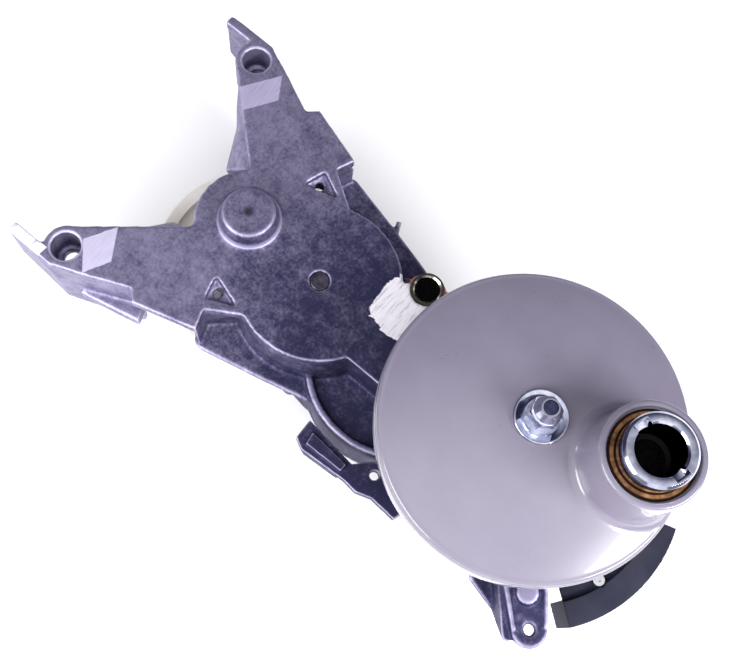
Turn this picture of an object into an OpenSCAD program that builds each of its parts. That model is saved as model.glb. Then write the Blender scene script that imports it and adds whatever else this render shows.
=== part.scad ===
// Planetary gearbox of a stand mixer.
// The belt pulley drives three spur reductions inside a cast case. The last
// gear turns the planet hub, whose own pinion rolls round a fixed ring gear
// and spins the tool socket. The hub faces +Z, the belt pulley faces -Z.
// The origin is on the hub axis, level with the groove round the hub's rim.

/* [Shafts] */
// Distance from the hub axis to the input shaft, along Y
input_y = 171.8; // [170:0.1:176]
// Sideways offset of the intermediate axis
intermediate_x = -1.5; // [-3:0.1:-0.5]
// Orbit angle of the tool socket at rest
orbit_angle = -76.7; // [-180:0.1:180]
// Radius of the output shaft
output_shaft_r = 10; // [8:0.5:12]
// Radius of the input shaft
input_shaft_r = 6; // [5:0.5:7]
// Radius of the two fixed axles
axle_r = 5; // [4:0.5:6]
// Radius of the planet shaft
planet_shaft_r = 8; // [7:0.5:9]
// Running clearance between a shaft and its bore, on the radius
run_gap = 0.05; // [0.02:0.01:0.1]

/* [Gears] */
// Module of the first gear pair
module_a = 1.5; // [1.5]
// Module of the second and third gear pairs
module_bc = 2; // [2]
// Teeth of the input pinion
input_teeth = 16; // [16]
// Teeth of the intermediate gear
intermediate_teeth = 48; // [48]
// Teeth of the intermediate pinion
intermediate_pinion_teeth = 14; // [14]
// Teeth of the idler gear
idler_teeth = 42; // [42]
// Teeth of the idler pinion
idler_pinion_teeth = 26; // [26]
// Teeth of the main gear on the output shaft
main_teeth = 42; // [42]
// Teeth of the fixed ring gear
ring_teeth = 80; // [80]
// Teeth of the planet pinion
planet_teeth = 20; // [20]
// Pressure angle
pressure_angle = 25; // [20:1:25]
// Play between meshing teeth, along the pitch line
backlash = 0.3; // [0.2:0.05:0.5]
// Face width of the first gear pair
face_a = 9; // [6:0.5:10]
// Face width of the second and third gear pairs
face_bc = 8; // [6:0.5:8]
// Face width of the planet pinion
planet_face = 9; // [7:0.5:9]

/* [Planet hub] */
// Radius of the hub's band, below its rim groove
hub_r = 71.8; // [70.5:0.1:76]
// Height of the hub's domed face above the rim groove, at the centre
hub_dome = 14.5; // [13:0.5:18]
// Height of the face's outer edge above the rim groove
hub_edge = 3.6; // [3:0.1:4.5]
// Depth of the rim below the groove
hub_skirt = 10; // [8:0.5:14]
// Wall of the hub's skirt
hub_wall = 3; // [2:0.5:4]
// Outer radius of the socket tube at its mouth
tube_r = 23; // [22:0.5:26]
// Outer radius of the socket tube at its foot
tube_foot_r = 24.8; // [23.5:0.1:27]
// Height of the tube's mouth above the rim groove
tube_top = 40; // [36:0.5:60]
// Radius of the recess in the tube's mouth
tube_mouth_r = 20; // [19.6:0.1:21]
// Depth of the recess in the tube's mouth
tube_mouth_depth = 3; // [2:0.5:6]

/* [Tool socket] */
// Outer radius of the tool socket
socket_r = 16; // [14:0.5:17]
// Radius of the socket's bore
socket_bore_r = 10.8; // [9:0.1:12]
// Height of the socket above the tube's mouth
socket_proud = 9.4; // [6:0.1:14]
// Width of the two bayonet notches
notch_w = 7; // [5:0.5:9]
// Outer radius of the bronze bush round the socket
bush_r = 19.3; // [17.6:0.1:19.4]

/* [Hub fastening] */
// Radius of the hub washer
washer_r = 12.4; // [11:0.1:14]
// Thickness of the hub washer
washer_t = 2.4; // [1.5:0.1:3]
// Width across flats of the hub nut
nut_af = 13; // [12:0.5:17]
// Height of the hub nut's hexagon
nut_h = 12; // [8:0.5:16]
// Height of the hub nut's tapered nose
nut_nose = 7; // [4:0.5:9]
// Radius of the threaded stud
stud_r = 4; // [3:0.5:5]

/* [Gear case] */
// Level of the case's top deck below the rim groove
deck_z = -34; // [-36:0.5:-33]
// Thickness of the deck
deck_t = 6; // [4:0.5:6]
// Level of the side shelf
shelf_z = -58; // [-59:0.5:-57]
// Thickness of the shelf
shelf_t = 4; // [3:0.5:4]
// Level of the parting face between case and cover
joint_z = -83; // [-86:0.5:-83]
// Wall of the case round each gear
case_wall = 3.2; // [2.5:0.1:4]
// Space between a gear's tips and the case wall
gear_room = 1; // [0.8:0.1:1.5]
// Space between the hub's skirt and the ring gear's flange
flange_room = 2.4; // [1.8:0.1:2.6]
// Solid width of the ring gear outside its pitch circle
ring_wall = 6.4; // [6.2:0.1:7]
// Level of the ring gear's seat on the case
ring_seat_z = -16; // [-18:0.5:-15]
// Depth of the arms below the deck, at their roots
arm_depth = 56; // [40:1:56]
// Depth of the arms below the deck, at their tips
arm_tip_depth = 30; // [20:1:36]
// Thickness of the arms' walls
arm_wall = 4; // [3:0.5:5]

/* [Mountings] */
// Sideways distance of each rear ear from the centre line
ear_x = 70.5; // [66:0.5:72]
// Distance of the rear ears from the hub axis
ear_y = 230; // [228:0.5:234]
// Radius of the ears' bores
ear_bore_r = 7.3; // [6:0.1:8.5]
// Radius of the ears round their bores
ear_r = 11.3; // [10.5:0.1:12]
// Radius of the locating bush's bore
bush_bore_r = 6.5; // [5:0.1:7]
// Wall of the locating bush
bush_wall = 2; // [1.5:0.1:2.5]
// Radius of the hole in the side lug
lug_hole_r = 2.7; // [2:0.1:4]
// Radius of the two holes in the triangular pockets
pocket_hole_r = 2.4; // [1.5:0.1:3]

/* [Rear cover] */
// Thickness of the rear cover
cover_t = 5; // [4:0.5:6]
// Thickness of the gasket under the cover
gasket_t = 0.6; // [0.4:0.1:1]
// Radius of the cover screws
cover_screw_r = 2; // [1.5:0.25:2.5]
// Height of the cover's feet below the cover
foot_h = 26; // [26:0.5:32]

/* [Belt pulley] */
// Radius of the belt pulley over its ribs
pulley_r = 55; // [45:0.5:56]
// Width of the belt pulley
pulley_w = 17; // [12:0.5:18]
// Number of grooves for the belt's ribs
pulley_grooves = 5; // [3:1:6]

/* [Front shroud] */
// Outer radius of the front shroud
shroud_r = 78.5; // [74:0.5:80]
// Radial width of the shroud's rim
shroud_w = 12.5; // [10:0.5:14]
// Level of the shroud's rim
shroud_z = -50; // [-54:0.5:-48]
// Height of the shroud
shroud_h = 26; // [20:0.5:28]

/* [Hidden] */
$fn = 96;
// Overlap that makes joined shapes and cuts clean
eps = 0.01;
// Clearance of a pressed or bolted piece in its seat
seat_gap = 0.02;
side_gap = 0.15;

input_pos = [0, input_y];
dist_a = module_a * (input_teeth + intermediate_teeth) / 2;
dist_b = module_bc * (intermediate_pinion_teeth + idler_teeth) / 2;
dist_c = module_bc * (idler_pinion_teeth + main_teeth) / 2;
flange_r = hub_r - hub_wall - flange_room;
module_ring = (flange_r - ring_wall) / (ring_teeth / 2);
orbit_r = module_ring * (ring_teeth - planet_teeth) / 2;
orbit_pos = orbit_r * [cos(orbit_angle), sin(orbit_angle)];
intermediate_pos = [
    intermediate_x,
    input_y - sqrt(dist_a * dist_a - intermediate_x * intermediate_x)
];
// The idler stands where its two centre distances meet, on the -X side
idler_pos = meeting_point(intermediate_pos, dist_c, dist_b);

// Tip radii of the gears
intermediate_tip = module_a * (intermediate_teeth / 2 + 1);
idler_tip = module_bc * (idler_teeth / 2 + 1);
main_tip = module_bc * (main_teeth / 2 + 1);

// Levels of the three gear pairs, each the underside of its teeth
level_c = shelf_z - shelf_t - face_bc - 1.5;
level_b = level_c - face_bc - 2;
level_a = deck_z - deck_t - face_a - 7;

// Radii of the case's lobes, inside and outside
lobe_1_in = intermediate_tip + gear_room;
lobe_1_out = lobe_1_in + case_wall;
lobe_2_in = idler_tip + gear_room;
lobe_2_out = lobe_2_in + case_wall;
hub_case_in = main_tip + gear_room + 1;
hub_case_out = hub_case_in + case_wall;
input_case_in = 24;
input_case_out = 28;

cover_z = joint_z - gasket_t - cover_t;
pulley_z = cover_z - 3.4 - pulley_w;
foot_z = cover_z - foot_h;

ring_gear_t = 12;
ring_screw_r = 1.25;
ring_screw_pitch = flange_r - 2.2;

// Planet hub: seat on the shaft, foot and ceiling
hub_seat_r = 8;
hub_foot_z = -13;
hub_ceiling = 0.5;
needle_r = 12;
bush_floor_z = 18;
socket_floor_z = 29.5;
socket_pin_z = 24;
planet_pinion_z = ring_seat_z + 2;
planet_foot_z = planet_pinion_z - 1.4;
notch_angles = [75, 255];

// Bearings: outer radius, width
output_bearing_r = 17.5;
output_bearing_w = 10;
input_bearing_r = 11;
input_bearing_w = 7;

// Boss over the input shaft
boss_r = 16.1;
boss_top_r = 13.2;
boss_h = 10;

output_bearing_z = ring_seat_z - 7 - output_bearing_w;
rear_bearing_r = 15;
rear_bearing_w = 8;
rear_bearing_z = level_c - 2 - rear_bearing_w;
shaft_foot_z = rear_bearing_z + 0.3;
input_rear_z = cover_z + 4.4;
axle_foot_z = cover_z - 1;
pulley_seat_z = pulley_z + 5;
sleeve_a_r = 9.5;
sleeve_b_r = 13;
main_tooth_angle = atan2(idler_pos[1], idler_pos[0]);

bush_pos = [30.5, 80.3];
bush_top = deck_z + 0.6;
bush_len = 26;
copper_t = 1.6;
copper_r = bush_bore_r + bush_wall + 1.9;
copper_z = deck_z - deck_t - copper_t - 0.2;

lug_angle = -138;
lug_reach = 88.4;
lug_r = 8.6;
lug_z = -40;
lug_t = 5;

shroud_pos = [-3, -13.3];
shroud_from = -128;
shroud_to = -72.5;
shroud_ear_z = shroud_z - 3;
shroud_ear_t = 3;
shroud_ledge = 8;

bracket_z = -64;
bracket_t = 6;
bracket_hole = [-54.5, 42];
bracket_screw_pos = [-46.5, 29];

ear_t = 16;

foot_r = 6;
rear_foot = [52, 206];
front_foot = [26, -10];

// ---- Helpers ----

// Angle whose involute is taken at radius r on base radius rb, in degrees
function involute_angle(rb, r) =
    let (a = acos(min(1, rb / r)))
    tan(a) * 180 / PI - a;

// Half the angle that a tooth covers at radius r
function tooth_half(teeth, m, r, thin) =
    let (
        rp = m * teeth / 2,
        rb = rp * cos(pressure_angle),
        half_pitch = 90 / teeth - thin / (2 * rp) * 180 / PI
    )
    half_pitch + involute_angle(rb, rp) - involute_angle(rb, max(r, rb));

function polar(r, a) = [r * cos(a), r * sin(a)];

// Outline of a spur gear with a tooth at angle 0
function gear_points(teeth, m, r_in, r_out, thin) =
    let (steps = 4)
    [
        for (k = [0 : teeth - 1])
            for (j = [0 : 2 * steps + 1])
                let (
                    rising = j <= steps,
                    step = rising ? j : 2 * steps + 1 - j,
                    r = r_in + (r_out - r_in) * step / steps,
                    half = tooth_half(teeth, m, r, thin)
                )
                polar(r, 360 * k / teeth + (rising ? -half : half))
    ];

// Point at distance ra from the origin and rb from point b, on the -X side
function meeting_point(b, ra, rb) =
    let (
        d = norm(b),
        along = (ra * ra - rb * rb + d * d) / (2 * d),
        off = sqrt(ra * ra - along * along),
        u = b / d
    )
    along * u + off * [-u[1], u[0]];

function angle_to(a, b) = atan2(b[1] - a[1], b[0] - a[0]);

module at(p, z = 0) {
    translate([p[0], p[1], z]) children();
}

// Plain cylinder from level z upwards
module disc(r, h, z = 0) {
    translate([0, 0, z]) cylinder(r = r, h = h);
}

// Tube from level z upwards
module tube(r, bore, h, z = 0) {
    difference() {
        disc(r, h, z);
        disc(bore, h + 2 * eps, z - eps);
    }
}

module mirrored_x() {
    children();
    mirror([1, 0, 0]) children();
}

// Spur gear standing on level z, with a tooth towards angle a
module spur(teeth, m, face, a, z) {
    pitch_r = m * teeth / 2;
    translate([0, 0, z])
        rotate(a)
            linear_extrude(face)
                polygon(gear_points(teeth, m, pitch_r - 1.25 * m, pitch_r + m, backlash / 2));
}

// Ball bearing as one ring with its seal grooves
module bearing(r, bore, w, z) {
    translate([0, 0, z])
        rotate_extrude()
            difference() {
                translate([bore, 0]) square([r - bore, w]);
                for (y = [-eps, w - 0.6 + eps])
                    translate([bore + 0.3 * (r - bore), y])
                        square([0.4 * (r - bore), 0.6]);
            }
}

// Hexagon from level z upwards, flats parallel to Y
module hexagon(af, h, z) {
    translate([0, 0, z])
        cylinder(r = af / 2 / cos(30), h = h, $fn = 6);
}

// Pan-head screw pointing down, its head's seat on level z
module screw(r, length, z) {
    disc(r, length, z - length);
    difference() {
        disc(1.8 * r, 1.3 * r, z);
        hexagon(1.3 * r, r, z + 0.5 * r);
    }
}

// ---- Outlines of the case ----

arm_inner_foot = [22, 191.5];
arm_inner_head = [60, 234.5];
arm_outer_head = [82, 228];
arm_outer_waist = [65.6, 191];
arm_shoulder = [70.6, 185.4];
deck_corner = [60.6, 152.8];
deck_notch = [50.4, 156.8];
deck_waist = [38.6, 138];
neck_half = 23;
tail_blade = [[77, 236], [77, 257.5], [82.2, 258], [83, 252], [82.6, 228]];

// Outline closed by its own mirror image across the Y axis
function symmetric(points) = concat(
    points,
    [for (i = [len(points) - 1 : -1 : 0]) [-points[i][0], points[i][1]]]
);

deck_points = symmetric([
    [neck_half, 60], [neck_half, 88], deck_waist, deck_notch, deck_corner,
    arm_shoulder, arm_outer_waist, [75.6, 212.5], arm_outer_head, [ear_x + ear_r, ear_y],
    [ear_x - 7.6, ear_y + 8.2], arm_inner_head, arm_inner_foot
]);

// Every child outline as a prism from level z upwards, h high
module slab(z, h) {
    for (i = [0 : $children - 1])
        translate([0, 0, z]) linear_extrude(h) children(i);
}

module deck() {
    slab(deck_z - deck_t, deck_t) {
        polygon(deck_points);
        translate(input_pos) circle(input_case_out);
        translate(intermediate_pos) circle(lobe_1_out);
        polygon([[2, 98], [21, 97], [27, 90], [24, 62], [-10, 62]]);
        translate(bush_pos) circle(bush_bore_r + bush_wall + 0.4);
    }
    mirrored_x() {
        slab(deck_z - deck_t, deck_t) polygon(tail_blade);
        at([ear_x, ear_y], deck_z - deck_t) cylinder(r = ear_r, h = deck_t);
    }
}

// Body under the deck, which the arms overhang
module upper_body(z, h) {
    slab(z, h) {
        translate(input_pos) circle(input_case_out);
        translate(intermediate_pos) circle(lobe_1_out);
        polygon([[-27, 150], [27, 150], [27, 176], [-27, 176]]);
        translate([-neck_half, 40]) square([2 * neck_half, 62]);
    }
}

shelf_corner = [62.5, 151.4];
shelf_side = [54.6, 118.6];
shelf_front = [47.5, 92];
shelf_points = symmetric([[36, 60], shelf_front, shelf_side, shelf_corner, [61.5, 156], [45, 165]]);

module shelf() {
    slab(shelf_z - shelf_t, shelf_t) {
        polygon(shelf_points);
        translate(idler_pos) circle(lobe_2_out);
    }
}

// Lower body and the cover share this outline
module lower_body(z, h) {
    slab(z, h) {
        translate(input_pos) circle(input_case_out);
        translate(intermediate_pos) circle(lobe_1_out);
        translate(idler_pos) circle(lobe_2_out);
        circle(hub_case_out - 4.6);
        polygon([[-29, 165], [29, 165], [38, 135], [40, 95], [40, 62], [30, 20], [-40, 20], [-46, 95], [-40, 135]]);
    }
}

// Inside of the case: the input and intermediate chambers
module chamber_a(z, h) {
    slab(z, h) {
        translate(input_pos) circle(input_case_in);
        translate(intermediate_pos) circle(lobe_1_in);
    }
}

// The chamber of the second and third pairs, open towards the cover
module chamber_bc(z, h) {
    chamber_a(z, h);
    slab(z, h) {
        translate(idler_pos) circle(lobe_2_in);
        polygon([[-25, 152], [25, 152], [33, 102], [-40, 102]]);
    }
}

// Places of the cover's screws and dowels, clear of the chambers
cover_screw_places = [
    [-25.5, 188], [25.5, 188], [-36, 150], [41.5, 137], [-42, 108], [42.5, 102],
    [46, 60], [42.5, 22], [20, -42], [-22, -42], [-43, 15]
];
cover_dowel_places = [[-31, 162], [41, 47]];

module cover_bosses(z, h) {
    for (p = concat(cover_screw_places, cover_dowel_places))
        at(p, z) cylinder(r = cover_screw_r + 2.6, h = h);
}

// ---- Gear case ----

// Plan of an arm's walls, on the +X side
arm_outer_band = [
    [82.6, 258], [82.7, 229.4], [75.2, 212.9], [65.1, 191.3], [61.4, 193], [71.5, 214.6],
    [77.6, 230], [77.6, 258]
];
arm_inner_band = [
    arm_inner_foot + [0.5, 0.2], arm_inner_head + [0.4, -0.3],
    arm_inner_head + [0.4 + 0.75 * arm_wall, -0.3 - 0.66 * arm_wall],
    arm_inner_foot + [0.5 + 0.75 * arm_wall, 0.2 - 0.66 * arm_wall]
];

// Everything below the slanting undersides of the arms
module below_arms() {
    rotate([90, 0, 90])
        linear_extrude(60)
            polygon([
                [180, deck_z - arm_depth - 20], [180, deck_z - arm_depth], [192, deck_z - arm_depth],
                [229, deck_z - arm_depth + 8], [259, deck_z - arm_tip_depth],
                [270, deck_z - arm_tip_depth], [270, deck_z - arm_depth - 20]
            ]);
}

// Outward slope at the foot of the arm's inner wall
module arm_flare() {
    hull() {
        slab(deck_z - 4, 1) polygon([[22.5, 190.5], [42.5, 213.5], [44, 211], [24, 188]]);
        slab(shelf_z - 4, 4) polygon([[20, 208], [31.8, 214.2], [42.8, 220.7], [46, 212], [24, 189]]);
    }
    hull() {
        slab(deck_z - 4, 1) polygon([[42.5, 213.5], [58.5, 231.6], [60, 229], [44, 211]]);
        slab(shelf_z - 4, 4) polygon([[42.8, 220.7], [52.3, 229.3], [58.5, 233.5], [61, 229], [46, 212]]);
    }
}

module arm() {
    difference() {
        slab(deck_z - arm_depth, arm_depth - 1) {
            polygon(arm_outer_band);
            polygon(arm_inner_band);
        }
        translate([40, 0, 0]) below_arms();
    }
    // Proud lower flange of the outer wall
    translate([0, 0, deck_z - 32])
        linear_extrude(8)
            polygon([[63, 191], [74, 217], [80, 217.5], [79.5, 213.5], [72.4, 184.2], [65.6, 187]]);
    // Cross web that ties both walls together
    translate([0, 0, deck_z - arm_depth + 8])
        linear_extrude(arm_depth - 9)
            polygon([[29, 198], [34, 204], [50, 208], [66, 195.5], [63.5, 191.7], [50, 200]]);
    arm_flare();
    // Rear foot under the cross web
    at(rear_foot, foot_z) cylinder(r = foot_r, h = deck_z - arm_depth + 10 - foot_z);
    // Ear socket
    at([ear_x, ear_y], deck_z - ear_t - 6) cylinder(r = ear_r, h = ear_t + 6);
    translate([0, 0, deck_z - ear_t]) linear_extrude(ear_t)
        polygon([[ear_x - 4, ear_y + 9], [ear_x + 11, ear_y + 9], [82, 228], [72, 214], [52, 222]]);
}

module lug() {
    rotate(lug_angle) {
        translate([0, 0, lug_z - lug_t])
            linear_extrude(lug_t) {
                polygon([[48, -13], [lug_reach, -lug_r], [lug_reach, lug_r], [48, 12]]);
                translate([lug_reach, 0]) circle(lug_r);
            }
        // Two raised edges
        for (side = [-1, 1])
            translate([0, 0, lug_z])
                linear_extrude(1.4)
                    polygon([
                        [56, side * 11.8], [lug_reach, side * lug_r],
                        [lug_reach, side * (lug_r - 2)], [56, side * 9.6]
                    ]);
        // Gusset under the side that faces -X
        translate([0, -8.5, lug_z - lug_t + 1])
            rotate([90, 0, 0])
                linear_extrude(4)
                    polygon([[46, 0], [lug_reach + 5, 0], [lug_reach + 4, -2], [78, -24], [66, -38], [46, -38]]);
        at([72, 0], lug_z) cylinder(r = 5.4, h = 3);
    }
    // Web between the lug's gusset and the hub's tower
    slab(shelf_z - shelf_t, shelf_t)
        polygon([[-38, -14], [-63, -25], [-66.5, -39], [-70, -57], [-54, -44], [-30, -36]]);
}

module case_outside() {
    deck();
    upper_body(joint_z, deck_z - deck_t - joint_z + 1);
    at(intermediate_pos, shelf_z) cylinder(r1 = lobe_1_out + 2.4, r2 = lobe_1_out, h = deck_z - shelf_z);
    shelf();
    lower_body(joint_z, shelf_z - joint_z - 0.5);
    cover_bosses(joint_z, 12);
    // Blocks at the deck's shoulders
    mirrored_x()
        translate([0, 0, shelf_z - shelf_t])
            linear_extrude(deck_z - shelf_z + shelf_t - 1)
                polygon([[36, 142], [deck_notch[0], deck_notch[1]], deck_corner, [57, 160], [58.5, 170], [40, 176], [20, 160]]);
    // Rim round the idler's lobe
    at(idler_pos, shelf_z - 1) tube(lobe_2_out - 0.4, lobe_2_out - 3.8, 6);
    // Boss over the input shaft
    at(input_pos, deck_z - eps) cylinder(r1 = boss_r, r2 = boss_top_r, h = boss_h);
    // Tower under the planet hub
    rotate_extrude()
        polygon([
            [0, joint_z], [hub_case_out - 4, joint_z], [hub_case_out, joint_z + 8],
            [hub_case_out, ring_seat_z - 6], [flange_r, ring_seat_z - 6],
            [flange_r, ring_seat_z], [0, ring_seat_z]
        ]);
    // Housing of the locating bush
    at(bush_pos, shelf_z - shelf_t) cylinder(r = bush_bore_r + bush_wall + 2, h = copper_z - shelf_z + shelf_t);
    mirrored_x() arm();
    lug();
    bracket_pad();
    shroud_pads();
    // Small peg on the right shelf
    at([52, 115.5], shelf_z - 3) rotate([0, 0, 25]) rotate([0, 90, 0]) cylinder(r = 1.6, h = 9);
}

// Pad that the side bracket is bolted to
module bracket_pad() {
    translate([0, 0, bracket_z - 8])
        linear_extrude(8) {
            translate(bracket_screw_pos) circle(5);
            polygon([bracket_screw_pos + [-3, 4], [-34, 38], [-34, 20], bracket_screw_pos + [-3, -4]]);
        }
}

shroud_screw_places = [[-24, -73], [8, -75]];

module shroud_pads() {
    translate([0, 0, shroud_ear_z - shroud_ear_t - 10])
        linear_extrude(10)
            for (p = shroud_screw_places) {
                translate(p) circle(4.5);
                polygon([p + [-4.5, 0], p + [4.5, 0], [p[0] * 0.5 + 4.5, -40], [p[0] * 0.5 - 4.5, -40]]);
            }
}

// Triangular pocket in the deck round a through hole, on the +X side
pocket = [[45.4, 160.4], [33.2, 164.2], [38.7, 146]];
pocket_hole = [38.6, 158.2];

module pocket_cut() {
    translate([0, 0, deck_z - 3.4]) linear_extrude(4) polygon(pocket);
    at(pocket_hole, deck_z - deck_t - 2) cylinder(r = pocket_hole_r, h = 9);
    // Relief below the hole
    at([38.5, 160], shelf_z - shelf_t - 1) cylinder(r = 8.5, h = deck_z - deck_t - shelf_z + shelf_t + 1);
}

module gear_case() {
    color([0.5, 0.48, 0.57])
        difference() {
            case_outside();
            // Gear chambers, open towards the cover
            chamber_a(joint_z - 1, deck_z - deck_t - joint_z + 1);
            chamber_bc(joint_z - 1, shelf_z - shelf_t - joint_z + 1);
            translate([0, 0, level_c - 1.5]) disc(hub_case_in, face_bc + 3);
            translate([0, 0, joint_z - eps]) disc(hub_case_in - 5, 14);
            // Hollow round the output bearing's sleeve
            translate([0, 0, shelf_z - shelf_t - eps])
                tube(hub_case_in - 1, output_bearing_r + 5, ring_seat_z - 12 - shelf_z + shelf_t);
            // Bearing seats and the output shaft's passage
            disc(output_shaft_r + 1.5, 80, joint_z);
            disc(output_bearing_r + seat_gap, 40, ring_seat_z - 7 - output_bearing_w);
            at(input_pos, deck_z - deck_t - eps) cylinder(r = input_bearing_r + seat_gap, h = input_bearing_w + 0.4);
            at(intermediate_pos, joint_z) cylinder(r = axle_r + seat_gap, h = 60);
            at(idler_pos, joint_z) cylinder(r = axle_r + seat_gap, h = shelf_z + 12 - joint_z);
            // Locating bush and its copper ring
            at(bush_pos, bush_top - bush_len) cylinder(r = bush_bore_r + bush_wall + seat_gap, h = 40);
            at(bush_pos, copper_z - seat_gap) cylinder(r = copper_r + 0.1, h = copper_t + 0.1);
            // Room for the cover and the shroud
            at(input_pos, cover_z - 12) cylinder(r = input_case_out + 7.2, h = joint_z - cover_z + 12);
            translate([0, 0, shroud_z - shroud_h - 0.2])
                linear_extrude(shroud_h + 0.4)
                    sector_2d(shroud_r - shroud_w - 0.2, shroud_r + 0.2, shroud_from - 1, shroud_to + 1);
            // Ears
            mirrored_x() at([ear_x, ear_y], deck_z - ear_t) cylinder(r = ear_bore_r, h = 40);
            mirrored_x() at([ear_x, ear_y], deck_z - 40) cylinder(r = 4.5, h = 60);
            mirrored_x() pocket_cut();
            // Lug
            rotate(lug_angle) at([lug_reach, 0], lug_z - 10) cylinder(r = lug_hole_r, h = 20);
            // Screw and dowel holes
            for (p = cover_screw_places)
                at(p, joint_z - 1) cylinder(r = cover_screw_r + seat_gap, h = 10);
            for (p = cover_dowel_places)
                at(p, joint_z - 1) cylinder(r = 2 + seat_gap, h = 7);
            ring_screw_places() cylinder(r = ring_screw_r + seat_gap, h = 6);
            at(bracket_screw_pos, bracket_z - 9) cylinder(r = 2 + seat_gap, h = 12);
            for (p = shroud_screw_places)
                at(p, shroud_ear_z - 14) cylinder(r = 1.6 + seat_gap, h = 20);
        }
}

// ---- Fixed pieces on the case ----

module ring_screw_places() {
    for (k = [0 : 5])
        rotate(60 * k + 20)
            translate([ring_screw_pitch, 0, ring_seat_z - 5]) children();
}

module ring_gear() {
    color([0.78, 0.76, 0.72])
        difference() {
            disc(flange_r - 0.1, ring_gear_t, ring_seat_z);
            translate([0, 0, ring_seat_z - eps])
                rotate(orbit_angle)
                    linear_extrude(ring_gear_t + 2 * eps)
                        polygon(gear_points(
                            ring_teeth, module_ring,
                            module_ring * (ring_teeth / 2 - 1), module_ring * (ring_teeth / 2 + 1.25),
                            -backlash / 2
                        ));
            ring_screw_places() cylinder(r = ring_screw_r + seat_gap, h = 30);
        }
}

module ring_gear_screws() {
    color([0.75, 0.75, 0.77])
        ring_screw_places() {
            cylinder(r = ring_screw_r, h = 5 + ring_gear_t);
            translate([0, 0, 5 + ring_gear_t]) cylinder(r = 2, h = 1.4);
        }
}

module output_bearing_front() {
    color([0.7, 0.71, 0.73])
        bearing(output_bearing_r, output_shaft_r + run_gap, output_bearing_w, output_bearing_z);
}

module output_seal() {
    color([0.12, 0.12, 0.13])
        tube(output_bearing_r, output_shaft_r + run_gap, 6, output_bearing_z + output_bearing_w + 0.2);
}

module output_bearing_rear() {
    color([0.7, 0.71, 0.73])
        bearing(rear_bearing_r, output_shaft_r + run_gap, rear_bearing_w, rear_bearing_z);
}

module input_bearing_front() {
    color([0.7, 0.71, 0.73])
        at(input_pos) bearing(input_bearing_r, input_shaft_r + run_gap, input_bearing_w, deck_z - deck_t);
}

module input_bearing_rear() {
    color([0.7, 0.71, 0.73])
        at(input_pos) bearing(input_bearing_r, input_shaft_r + run_gap, input_bearing_w, input_rear_z);
}

module input_seal() {
    color([0.12, 0.12, 0.13])
        at(input_pos) tube(input_bearing_r, input_shaft_r + run_gap, input_rear_z - cover_z - 0.2, cover_z);
}

module intermediate_axle() {
    color([0.35, 0.33, 0.37])
        at(intermediate_pos, axle_foot_z) {
            cylinder(r = axle_r, h = deck_z - 0.8 - axle_foot_z);
            translate([0, 0, deck_z - 0.8 - axle_foot_z]) cylinder(r1 = axle_r, r2 = axle_r - 0.6, h = 0.6);
        }
}

module idler_axle() {
    color([0.6, 0.6, 0.62])
        at(idler_pos, axle_foot_z) cylinder(r = axle_r, h = shelf_z + 11.5 - axle_foot_z);
}

module locating_bush() {
    color([0.42, 0.42, 0.36])
        at(bush_pos, bush_top - bush_len)
            difference() {
                cylinder(r = bush_bore_r + bush_wall, h = bush_len);
                translate([0, 0, -1]) cylinder(r = bush_bore_r, h = bush_len + 2);
                translate([0, 0, bush_len - 0.8])
                    cylinder(r1 = bush_bore_r, r2 = bush_bore_r + 0.9, h = 0.81);
            }
}

module copper_ring() {
    color([0.65, 0.3, 0.2])
        at(bush_pos)
            tube(copper_r, bush_bore_r + bush_wall + seat_gap, copper_t, copper_z);
}

// Rear cover with its bearing bosses and front feet
module rear_cover() {
    color([0.5, 0.48, 0.57])
        difference() {
            union() {
                lower_body(cover_z, cover_t);
                cover_bosses(cover_z, cover_t);
                disc(rear_bearing_r + 4, rear_bearing_z + rear_bearing_w - cover_z, cover_z);
                at(input_pos, cover_z)
                    cylinder(r = input_bearing_r + 4, h = input_rear_z + input_bearing_w - cover_z);
                for (p = [intermediate_pos, idler_pos])
                    at(p, cover_z - 3) cylinder(r = axle_r + 4, h = 4);
                disc(14, 3.2, cover_z - 3);
                for (side = [-1, 1])
                    at([side * front_foot[0], front_foot[1]], foot_z)
                        cylinder(r = foot_r, h = cover_z - foot_z + 1);
                // Stiffening ribs on the outside
                for (a = [0 : 45 : 315])
                    rotate(a) translate([13, -1.2, cover_z - 2.4]) cube([26, 2.4, 2.5]);
            }
            disc(rear_bearing_r + seat_gap, 30, rear_bearing_z);
            disc(output_shaft_r + 1, 8, rear_bearing_z - 1.5);
            at(input_pos, cover_z - 1) cylinder(r = input_bearing_r + seat_gap, h = 30);
            for (p = [intermediate_pos, idler_pos])
                at(p, axle_foot_z) cylinder(r = axle_r + seat_gap, h = 30);
            for (p = cover_screw_places)
                at(p, cover_z - 1) cylinder(r = cover_screw_r + 0.2, h = 10);
            for (p = cover_dowel_places)
                at(p, cover_z + 1.5) cylinder(r = 2 + seat_gap, h = 10);
        }
}

module cover_gasket() {
    color([0.16, 0.16, 0.17])
        difference() {
            union() {
                lower_body(joint_z - gasket_t, gasket_t);
                cover_bosses(joint_z - gasket_t, gasket_t);
            }
            chamber_bc(joint_z - gasket_t - 1, gasket_t + 2);
            disc(hub_case_in - 5, gasket_t + 2, joint_z - gasket_t - 1);
            for (p = cover_screw_places)
                at(p, joint_z - gasket_t - 1) cylinder(r = cover_screw_r + 0.2, h = gasket_t + 2);
            for (p = cover_dowel_places)
                at(p, joint_z - gasket_t - 1) cylinder(r = 2 + seat_gap, h = gasket_t + 2);
        }
}

module cover_screws() {
    color([0.72, 0.72, 0.74])
        for (p = cover_screw_places)
            at(p, cover_z) mirror([0, 0, 1]) screw(cover_screw_r, cover_t + gasket_t + 8, 0);
}

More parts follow.
